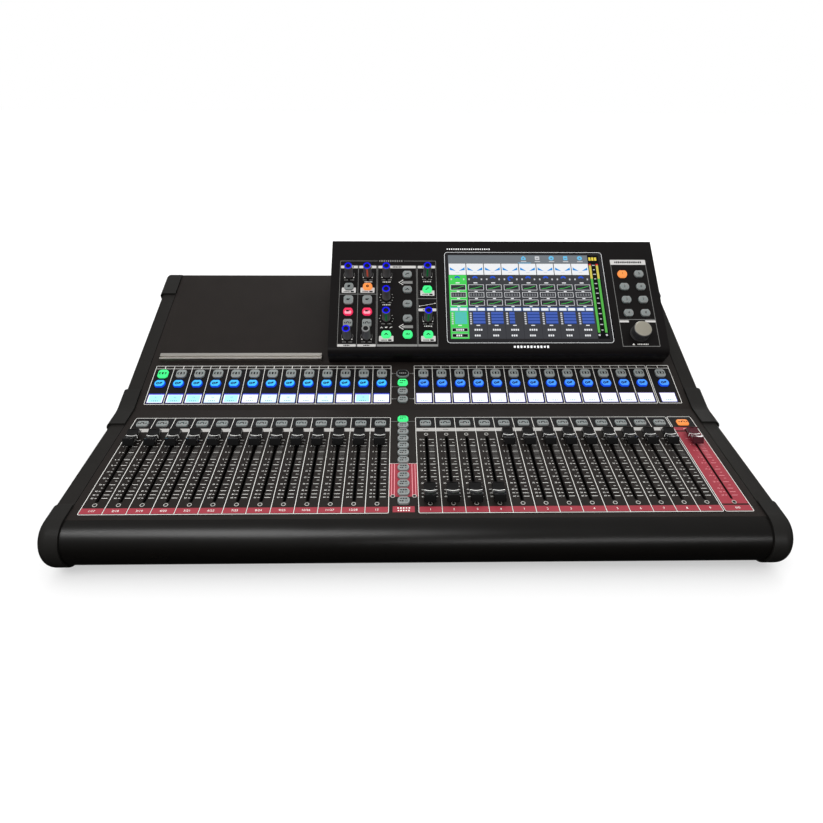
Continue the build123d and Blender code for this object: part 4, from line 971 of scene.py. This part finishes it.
def fader_top(x, y):
    """The height of a cap's top: a dish along its length, and a slight sag across it."""
    share = min(1.0, abs(y) / FADER_CREST)
    across = min(1.0, abs(x) / (FADER_WIDE - 1.0))
    return FADER_HIGH - FADER_DISH * (1 - share ** 2) - FADER_SAG * (1 - across ** 2)


def cap_ring(half_length, half_width, corner, stations):
    """A round-cornered outline with matched points on its left and right sides."""
    points = []
    for station in stations:
        y = station * half_length
        over = max(0.0, abs(y) - (half_length - corner))
        x = half_width - corner + math.sqrt(max(0.0, corner ** 2 - over ** 2))
        points.append((x, y))
    return points + [(-x, y) for x, y in reversed(points)]


def fader(name, x, run, finish_name):
    """A fader cap with a white line over its saddle, on its rib, lever and carriage."""
    pile = Pile()
    line = FADER_LINE / 2 / FADER_HALF
    half = [line, 0.12, 0.2, 0.3, 0.4, 0.5, 0.6, 0.7, 0.78, 0.84, 0.9, 0.94, 0.97, 0.99, 1.0]
    stations = [-s for s in reversed(half)] + half
    count = 2 * len(stations)
    crest, wide = FADER_CREST, FADER_WIDE
    rings = [(FADER_HALF, wide, 1.6, None), (FADER_HALF - 0.3, wide, 1.6, 6.8)]
    rings += [(crest + 0.4, wide - 0.15, 1.4, 1.0), (crest, wide - 0.2, 1.4, 0.5)]
    rings += [(crest - 0.2, wide - 0.4, 1.3, 0.15), (crest - 0.6, wide - 0.95, 1.2, 0.0)]
    depth = FADER_HIGH - FADER_LOW
    verts = []
    for long, half_width, corner, drop in rings:
        for px, py in cap_ring(long, half_width, corner, stations):
            top = fader_top(px, py)
            low = 0.0 if drop is None else 1 - drop / depth
            verts.append(FADERS.point(x + px, run + py, FADER_LOW + (top - FADER_LOW) * low))
    faces, finishes = [], []
    middle = (len(half) - 1, count // 2 + len(half) - 1)
    for level in range(len(rings) - 1):
        a, b = level * count, (level + 1) * count
        for i in range(count):
            j = (i + 1) % count
            faces.append((a + i, a + j, b + j, b + i))
            # The middle columns take the white line, which also glows a little: painted brightness.
            finishes.append("line" if i in middle else finish_name)
    top = (len(rings) - 1) * count
    inner = cap_ring(rings[-1][0], rings[-1][1], rings[-1][2], stations)
    columns = 7
    grid = []
    for i in range(len(stations)):
        px, py = inner[i]
        row = [top + i]
        for k in range(1, columns):
            place = px * (1 - 2 * k / columns)
            row.append(len(verts))
            verts.append(FADERS.point(x + place, run + py, fader_top(place, py)))
        grid.append(row + [top + count - 1 - i])
    for i in range(len(stations) - 1):
        for k in range(columns):
            faces.append((grid[i][k], grid[i + 1][k], grid[i + 1][k + 1], grid[i][k + 1]))
            finishes.append("line" if i == middle[0] else finish_name)
    faces.append(tuple(range(count))[::-1])
    finishes.append(finish_name)
    pile.verts = [tuple(v) for v in verts]
    pile.faces = [list(face) for face in faces]
    pile.finishes = finishes
    rib_width, rib_length, rib_low = FADER_RIB
    rib = rounded(rib_width, rib_length, 0.6, 3)
    pile.rings(FADERS, (x, run), [(rib, rib_low), (rib, FADER_LOW + 0.1)], "lever")
    blade = rounded(BLADE[0], BLADE[1], 0.4, 2)
    pile.rings(FADERS, (x, run), [(blade, -7.0), (blade, rib_low + 0.1)], "lever")
    carriage = rounded(CARRIAGE[0], CARRIAGE[1], 1.0, 3)
    pile.rings(FADERS, (x, run), [(carriage, -12.0), (carriage, -7.0)], "lever")
    pile.piece(name + "_cap", name,
               [name])


def write_faders():
    """All 27 faders: the effects faders rest at the bottom of their travel, the others at the top."""
    names = [f"channel_fader_{i + 1}" for i in range(12)] + ["usb_fader"]
    names += [f"fx_fader_{i + 1}" for i in range(4)]
    names += [f"aux_fader_{i + 1}" for i in range(8)] + ["monitor_fader", "main_fader"]
    for name, x in zip(names, STRIP_XS):
        run = 25.9 if name.startswith("fx") else 125.9
        fader(name, x, run, "fader_red" if name == "main_fader" else "fader")


# ---- Knobs ----
KNOB_RADIUS = 5.5
KNOB_HEIGHT = 23.0


def fluted(radius, flutes, depth, steps):
    """A circle with shallow flutes, as a smooth ripple."""
    points = []
    for i in range(steps):
        a = 2 * math.pi * i / steps
        r = radius - depth * (0.5 + 0.5 * math.cos(flutes * a)) ** 2
        points.append((r * math.cos(a), r * math.sin(a)))
    return points


def edit_knob(index, x, run):
    """A slim knob: a skirt, a fluted grip, and a light ring round its sunk top."""
    pile = Pile()
    steps = 72
    radius, top = KNOB_RADIUS, KNOB_HEIGHT
    skirt, plain = circle(radius + 0.3, steps), circle(radius, steps)
    grip = fluted(radius, 18, 0.3, steps)
    layers = [(skirt, 0.5), (skirt, 2.4), (circle(radius + 0.1, steps), 3.0), (grip, 3.4)]
    layers += [(grip, top - 3.4), (plain, top - 2.8), (plain, top - 1.0)]
    layers += [(circle(radius - 0.3, steps), top - 0.8)]
    pile.rings(MODULE, (x, run), layers, "knob_grip")
    off = index == len(EDIT_KNOBS) - 1
    glow, edge = ("ring_off", "ring_off") if off else ("ring", "ring_edge")
    rim = radius - 0.3
    pile.band(MODULE, (x, run), circle(rim - 0.25, steps), circle(rim - 1.7, steps), glow,
              top - 0.85, top - 0.1)
    pile.band(MODULE, (x, run), circle(rim, steps), circle(rim - 0.3, steps), edge,
              top - 0.9, top - 0.15)
    dish = [(circle(rim - 1.7, steps), top - 0.9), (circle(rim - 1.9, steps), top - 0.5)]
    pile.rings(MODULE, (x, run), dish, "key_black")
    line = {1: "mark_orange", 3: "mark_green", 5: "mark_green", 6: "mark_green"}.get(index)
    if line:
        mark = rounded(2.2, 0.9, 0.3, 2)
        pile.prism(MODULE, (x, run - radius + 0.3), mark, line, 4.0, top - 2.0)
    shaft = circle(3.0, 24)
    pile.rings(MODULE, (x, run), [(shaft, -7.0), (shaft, 0.6)], "lever")
    name = f"edit_knob_{index + 1}"
    pile.piece(name + "_knob", name, [name])


def main_knob():
    """The large knob: a fluted black body and a turned metal disc in its top."""
    pile = Pile()
    steps = 160
    radius = 13.0
    grip = fluted(radius - 0.4, 40, 0.35, steps)
    skirt = circle(radius, steps)
    collar = circle(radius - 0.6, steps)
    layers = [(skirt, 0.5), (skirt, 2.6), (collar, 3.0), (grip, 3.4), (grip, 13.2), (collar, 13.8)]
    layers += [(circle(radius - 0.8, steps), 14.6), (circle(radius - 1.2, steps), 14.8)]
    pile.rings(MODULE, MAIN_KNOB_AT, layers, "knob")
    disc = radius - 1.2
    rim = [(circle(disc, steps), 14.4), (circle(disc, steps), 15.2), (circle(disc - 0.4, steps), 15.5)]
    pile.rings(MODULE, MAIN_KNOB_AT, rim, "chrome")
    face = [(circle(disc - 0.4, steps), 15.45), (circle(disc - 0.9, steps), 15.55)]
    pile.rings(MODULE, MAIN_KNOB_AT, face, "champagne")
    shaft = circle(3.0, 24)
    pile.rings(MODULE, MAIN_KNOB_AT, [(shaft, -7.0), (shaft, 0.6)], "lever")
    pile.piece("main_knob_turned", "main_knob", ["main_knob"])


# ---- Displays ----
DISPLAY_RUN = 20.7
DISPLAY_SIZE = (21.5, 17.2)
CYAN_DISPLAYS = (0, 1, 2, 4, 11)
PALE_DISPLAYS = (3, 6, 7, 9)


def write_displays():
    """The 27 small displays: a dark module, a blue edge, and a lit page with faint marks."""
    pile = Pile()
    width, height = DISPLAY_SIZE
    for i, x in enumerate(STRIP_XS):
        body = rectangle(width, height)
        pile.rings(KEYS, (x, DISPLAY_RUN), [(body, -4.5), (body, -0.4)], "fascia")
        edge, inner = rectangle(width - 0.2, height - 0.4), rectangle(width - 1.5, height - 2.0)
        pile.band(KEYS, (x, DISPLAY_RUN), edge, inner, "lcd_edge", -0.42, -0.30)
        plain = "lcd_pale" if i in PALE_DISPLAYS else "lcd_white"
        pile.prism(KEYS, (x, DISPLAY_RUN), inner, plain, -0.42, -0.28)
        if i in CYAN_DISPLAYS:
            page = rectangle(width - 4.0, height - 5.4)
            pile.prism(KEYS, (x, DISPLAY_RUN - 0.6), page, "lcd_cyan", -0.30, -0.26)
        across = (x - width / 2 + 0.4, x + width / 2 - 0.4)
        bands = ("lcd_band", "lcd_lavender") if i < BANK else ("lcd_lilac", "lcd_white")
        for inset, band_finish in zip((1.0, 2.2), bands):
            pile.rung(KEYS, across, DISPLAY_RUN + height / 2 - inset, 1.2, band_finish, low=-0.3,
                      high=-0.24)
        dashes(pile, KEYS, (x, DISPLAY_RUN - 4.6), 4, 2.4, (1.5, 1.8), "lcd_mark", rise=-0.28)
        if i < 12:
            write_number(pile, KEYS, (x + 0.5, DISPLAY_RUN + 1.2), f"{i + 1:02d}", 2.8, "lcd_mark",
                         rise=-0.26)
    pile.piece("channel_display_pages", "root", ["channel_displays"])


# ---- The picture on the touch screen, in shares of its width and height from the top left ----
PICTURE_X = (50.7, 271.7)
PICTURE_RUNS = (0.0, 138.5)
PICTURE_RISE = -0.2
LAYER = 0.03
COLUMNS = 8
COLUMNS_END = 0.927


def picture_point(u, v):
    """The place on the module of a point of the picture."""
    x = PICTURE_X[0] + u * (PICTURE_X[1] - PICTURE_X[0])
    run = PICTURE_RUNS[1] - v * (PICTURE_RUNS[1] - PICTURE_RUNS[0])
    return x, run


def picture_box(pile, us, vs, colour, layer):
    """A filled rectangle of the picture."""
    x0, high = picture_point(us[0], vs[0])
    x1, low = picture_point(us[1], vs[1])
    bottom = PICTURE_RISE + LAYER * (layer - 1)
    pile.prism(MODULE, ((x0 + x1) / 2, (low + high) / 2), rectangle(x1 - x0, high - low),
               "ui_" + colour, bottom, bottom + LAYER)


def picture_line(pile, points, width, colour, layer):
    """A line of the picture; its width is in millimetres."""
    places = [picture_point(u, v) for u, v in points]
    bottom = PICTURE_RISE + LAYER * (layer - 1)
    pile.prism(MODULE, (0, 0), stroke(places, width), "ui_" + colour, bottom, bottom + LAYER)


def picture_frame(pile, us, vs, width, colour, layer):
    """The outline of a rectangle of the picture."""
    x0, high = picture_point(us[0], vs[0])
    x1, low = picture_point(us[1], vs[1])
    bottom = PICTURE_RISE + LAYER * (layer - 1)
    pile.band(MODULE, ((x0 + x1) / 2, (low + high) / 2), rectangle(x1 - x0, high - low),
              rectangle(x1 - x0 - 2 * width, high - low - 2 * width), "ui_" + colour, bottom,
              bottom + LAYER)


def picture_column(pile, index):
    """One channel of the picture: curve page, pan ring, three small pages and the level block."""
    wide = COLUMNS_END / COLUMNS
    u = wide * index
    first = index == 0

    def across(start, end):
        return u + wide * start, u + wide * end

    picture_box(pile, across(0.0, 1.0), (0.248, 1.0), "green" if first else "cell", 2)
    if index > 1:
        picture_box(pile, across(-0.010, 0.010), (0.67, 1.0), "page", 3)
    picture_box(pile, across(0.02, 0.98), (0.106, 0.245), "white", 2)
    for side in (-1, 1):
        tips = ((0.42, 0.152), (0.42, 0.186), (0.09, 0.196), (0.24, 0.176))
        shape = [picture_point(u + wide * (0.5 + side * s), v) for s, v in tips]
        shape = shape if side > 0 else shape[::-1]
        bottom = PICTURE_RISE + LAYER * 2
        pile.prism(MODULE, (0, 0), shape[::-1], "ui_wing", bottom, bottom + LAYER)
    picture_box(pile, across(0.4, 0.6), (0.213, 0.219), "label", 3)
    x, run = picture_point(u + wide * 0.48, 0.291)
    bottom = PICTURE_RISE + LAYER * 2
    sweep = stroke(arc(0, 0, 3.0, 10, 260 if index == 3 else 170, 12), 2.4)
    pile.prism(MODULE, (x, run), sweep, "ui_ring", bottom, bottom + LAYER)
    for start in (0.1, 0.8):
        picture_box(pile, across(start, start + 0.08), (0.29, 0.31), "label", 3)
    picture_box(pile, across(0.38, 0.6), (0.338, 0.350), "white", 3)
    pages = ((0.365, 0.433), (0.457, 0.519), (0.547, 0.615))
    for page, vs in enumerate(pages):
        us = across(0.08, 0.94)
        picture_box(pile, us, vs, "page", 3)
        picture_frame(pile, us, vs, 0.55, "white", 4)
        low, high = vs[1] - 0.018, vs[0] + 0.018
        if page == 1:
            for k in range(5):
                start = 0.17 + 0.145 * k
                picture_box(pile, across(start, start + 0.09), (high - 0.002, low + 0.002), "grey", 4)
        else:
            bend = (0.2, low), (0.42, low - 0.006), (0.56, high + 0.018), (0.84, high)
            picture_line(pile, [(u + wide * s, v) for s, v in bend], 0.6, "green", 4)
        picture_box(pile, across(0.42, 0.58), (vs[1] + 0.008, vs[1] + 0.020), "white", 3)
    picture_box(pile, across(0.02, 0.98), (0.634, 0.684), "teal" if first else "stripe", 3)
    for start in (0.04, 0.52):
        picture_box(pile, across(start, start + 0.42), (0.644, 0.678), "pale", 4)
        picture_box(pile, across(start + 0.02, start + 0.40), (0.647, 0.675), "white", 5)
    picture_box(pile, across(0.08, 0.18), (0.70, 0.835), "label", 3)
    for k in range(5):
        picture_box(pile, across(0.07, 0.19), (0.716 + 0.024 * k, 0.724 + 0.024 * k),
                    "green" if first else "cell", 4)
    end = 0.55 if index == 3 else 0.92
    picture_box(pile, across(0.26, 0.92), (0.690, 0.832), "teal" if first else "cell", 3)
    for k in range(4):
        top = 0.692 + 0.035 * k
        if not first:
            picture_box(pile, across(0.26, end), (top, top + 0.026), "blue", 4)
            picture_box(pile, across(0.26, end), (top + 0.026, top + 0.035), "stripe", 4)
    picture_box(pile, across(0.42, 0.62), (0.842, 0.852), "white", 3)
    for vs in ((0.878, 0.918), (0.943, 0.983)):
        if first:
            picture_box(pile, across(0.08, 0.94), vs, "dark", 3)
            picture_frame(pile, across(0.08, 0.94), vs, 0.4, "label", 4)
        middle = sum(vs) / 2
        for k in range(4 if vs[0] < 0.9 else 3):
            start = 0.30 + 0.115 * k
            picture_box(pile, across(start, start + 0.08), (middle - 0.010, middle + 0.010), "white", 5)


def write_picture():
    """The page on the touch screen: a bar of buttons, eight channels and two level meters."""
    pile = Pile()
    picture_box(pile, (0.0, 1.0), (0.0, 1.0), "dark", 1)
    picture_box(pile, (0.0, COLUMNS_END), (0.0, 0.104), "bar", 2)
    for i in range(COLUMNS):
        picture_column(pile, i)
    bottom = PICTURE_RISE + LAYER * 2
    for i, u in enumerate((0.50, 0.592, 0.686, 0.78, 0.875)):
        x, run = picture_point(u, 0.036)
        shapes = {
            0: [(3.4, -3.2), (3.4, 0.6), (0, 3.8), (-3.4, 0.6), (-3.4, -3.2)],
            1: rounded(6.6, 6.4, 0.8, 2), 2: circle(3.9, 18), 3: rounded(6.0, 7.0, 0.6, 2),
            4: circle(3.8, 8),
        }
        pile.prism(MODULE, (x, run), shapes[i], "ui_label" if i == 1 else "ui_icon", bottom,
                   bottom + LAYER)
        hole = circle(1.2, 10) if i in (0, 2, 4) else rectangle(3.4, 1.2)
        pile.prism(MODULE, (x, run - 0.4), hole, "ui_bar", bottom + LAYER, bottom + 2 * LAYER)
        picture_box(pile, (u - 0.018, u + 0.018), (0.074, 0.084), "label", 3)
    picture_box(pile, (0.462, 0.548), (0.094, 0.101), "icon", 3)
    for k in range(3):
        start = 0.934 + 0.019 * k
        picture_box(pile, (start, start + 0.014), (0.026, 0.066), "gold", 3)
    for u in (0.938, 0.984):
        for vs, colour in (((0.108, 0.126), "red"), ((0.126, 0.29), "yellow"), ((0.29, 0.93), "meter")):
            picture_box(pile, (u - 0.0075, u + 0.0075), vs, colour, 3)
        picture_box(pile, (u - 0.006, u + 0.006), (0.948, 0.968), "label", 3)
    for k in range(14):
        v = 0.12 + 0.055 * k + 0.0012 * k * k * 0.3
        wide = 0.006 if k % 2 else 0.009
        picture_box(pile, (0.961 - wide, 0.961 + wide), (v, v + 0.010), "label", 3)
    pile.piece("touch_screen_page", "root")


# ---- Screws ----
def screw_head(pile, slope, centre, front_painted_rim):
    """A cross-recess screw; on the front panel a pale ring round it is a painted highlight, the light its rim
    catches.
    """
    if front_painted_rim:
        # The pale band is a painted highlight on the screw's rim.
        pile.band(slope, centre, circle(2.45, 28), circle(1.85, 28), "screw_rim_painted_highlight", 0.0, 0.35)
    head = [(circle(1.85, 28), 0.0), (circle(1.8, 28), 0.35), (circle(1.4, 28), 0.5)]
    if not front_painted_rim:
        head = [(circle(2.5, 28), 0.0), (circle(2.4, 28), 0.4), (circle(1.9, 28), 0.75)]
    pile.rings(slope, centre, head, "screw")
    top = head[-1][1]
    for arm in (rectangle(2.4, 0.6), rectangle(0.6, 2.4)):
        pile.prism(slope, centre, arm, "key_ink", top - 0.04, top + 0.01)


class RearWall:
    """The vertical rear wall, seen from behind: x runs the other way and run is the height."""

    def point(self, x, run, rise=0.0):
        return Vector((-x, REAR[0] + rise, run)) * MM


def write_screws():
    """The fader units' screws and the rear wall's."""
    pile = Pile()
    for x in STRIP_XS:
        for run in (14.1, 137.7):
            screw_head(pile, FADERS, (x, run), front_painted_rim=True)
    for side in (-1, 1):
        screw_head(pile, FADERS, (CENTRE_X + side * 11.8, 26.0), front_painted_rim=True)
    for x in (-340, -170, 0, 170, 340):
        for height in (20.0, REAR[1] - 14.0):
            screw_head(pile, RearWall(), (x, height), front_painted_rim=False)
    pile.piece("screw_heads", "root", ["panel_screws"])


# ---- Everything together ----
NODE_FINISH = {
    "base_tray": "case", "top_panel": "panel", "front_armrest": "armrest", "side_rails": "case",
    "corner_caps": "cap", "screen_housing": "housing", "screen_fascia": "fascia",
    "touch_screen": "glass", "tablet_ledge": "ledge", "fader_units": "unit",
    "circuit_boards": "board", "power_supply": "steel", "rear_sockets": "socket",
    "rubber_feet": "rubber", "power_rocker": "socket",
}
for node, finish_key in NODE_FINISH.items():
    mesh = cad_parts[node].data
    mesh.materials.clear()
    mesh.materials.append(PALETTE[finish_key])

fader_prints()
key_prints()
edit_prints()
screen_prints()
write_keys()
write_faders()
for knob_index, (knob_x, knob_run) in enumerate(EDIT_KNOBS):
    edit_knob(knob_index, knob_x, knob_run)
main_knob()
write_displays()
write_picture()
write_screws()


# ---- Floor, light and camera ----
def stage_floor():
    """A plain pale floor."""
    half = 60.0
    mesh = bpy.data.meshes.new("floor")
    corners = [(-half, -half, 0), (half, -half, 0), (half, half, 0), (-half, half, 0)]
    mesh.from_pydata(corners, [], [(0, 1, 2, 3)])
    mesh.materials.append(PALETTE["floor"])
    floor = bpy.data.objects.new("floor", mesh)
    SCENE.collection.objects.link(floor)
    floor.visible_glossy = False
    floor.visible_diffuse = False


def set_world():
    """White to the camera; to the console, a sky that fades down to a dark ground."""
    world = bpy.data.worlds.new("studio")
    SCENE.world = world
    world.use_nodes = True
    nodes, links = world.node_tree.nodes, world.node_tree.links
    sky = nodes["Background"]
    place = nodes.new("ShaderNodeTexCoord")
    axes = nodes.new("ShaderNodeSeparateXYZ")
    links.new(place.outputs["Generated"], axes.inputs[0])
    height = nodes.new("ShaderNodeMapRange")
    height.inputs["From Min"].default_value = -0.25
    height.inputs["To Min"].default_value = 0.04
    height.inputs["To Max"].default_value = 1.62
    links.new(axes.outputs["Z"], height.inputs["Value"])
    path = nodes.new("ShaderNodeLightPath")
    glossy = nodes.new("ShaderNodeMapRange")
    glossy.inputs["To Min"].default_value = 1.0
    glossy.inputs["To Max"].default_value = 0.26
    links.new(path.outputs["Is Glossy Ray"], glossy.inputs["Value"])
    seen = nodes.new("ShaderNodeMath")
    seen.operation = "MULTIPLY"
    links.new(height.outputs["Result"], seen.inputs[0])
    links.new(glossy.outputs["Result"], seen.inputs[1])
    camera = nodes.new("ShaderNodeMix")
    camera.inputs[3].default_value = 1.0
    links.new(path.outputs["Is Camera Ray"], camera.inputs[0])
    links.new(seen.outputs["Value"], camera.inputs[2])
    links.new(camera.outputs[0], sky.inputs["Strength"])
    sky.inputs["Color"].default_value = (1, 1, 1, 1)


def softbox(name, place, target, size, power, nodes=()):
    """A rectangular soft light aimed at a point, or a gleam that only some nodes reflect."""
    light = bpy.data.lights.new(name, "AREA")
    light.shape = "RECTANGLE"
    light.size, light.size_y = size
    light.energy = power
    lamp = bpy.data.objects.new(name, light)
    lamp.location = place
    lamp.visible_camera = False
    if nodes:
        lamp.visible_diffuse = False
        lamp.light_linking.receiver_collection = bpy.data.collections.new(name)
        for node in nodes:
            lamp.light_linking.receiver_collection.objects.link(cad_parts[node])
    aim = Vector(target) - Vector(place)
    lamp.rotation_euler = aim.to_track_quat("-Z", "Y").to_euler()
    SCENE.collection.objects.link(lamp)


def set_camera():
    """The camera, a wide lens close in front of the console."""
    yaw, pitch, roll = (math.radians(a) for a in (1.17, 26.8, 0.37))
    ahead = Vector((math.sin(yaw) * math.cos(pitch), math.cos(yaw) * math.cos(pitch),
                    -math.sin(pitch)))
    level = Vector((math.cos(yaw), -math.sin(yaw), 0.0))
    upward = level.cross(ahead)
    right = level * math.cos(roll) + upward * math.sin(roll)
    up = upward * math.cos(roll) - level * math.sin(roll)
    data = bpy.data.cameras.new("camera")
    data.sensor_width = 36.0
    data.lens = 26.355
    data.clip_start = 0.01
    camera = bpy.data.objects.new("camera", data)
    SCENE.collection.objects.link(camera)
    turn = Matrix((right, up, -ahead)).transposed().to_4x4()
    camera.matrix_world = Matrix.Translation(Vector((-19.4, -725.9, 445.0)) * MM) @ turn
    SCENE.camera = camera


stage_floor()
set_world()
softbox("key_light", (-0.8, -1.3, 1.8), (-0.2, -0.1, 0.1), (1.3, 0.6), 10)
softbox("left_gleam", (-0.8, -1.3, 1.8), (-0.2, -0.1, 0.1), (1.4, 0.35), 60, ["front_armrest"])
softbox("right_gleam", (0.9, -2.5, 0.75), (0.1, -0.1, 0.05), (1.7, 0.35), 16,
        ["front_armrest", "corner_caps"])
softbox("back_light", (0.2, 1.4, 1.5), (0, 0.1, 0.15), (2.0, 0.8), 6)
softbox("rear_fill", (0.5, 2.0, 0.6), (0, 0.2, 0.12), (1.8, 0.6), 16)
set_camera()
SCENE.view_settings.view_transform = "Standard"
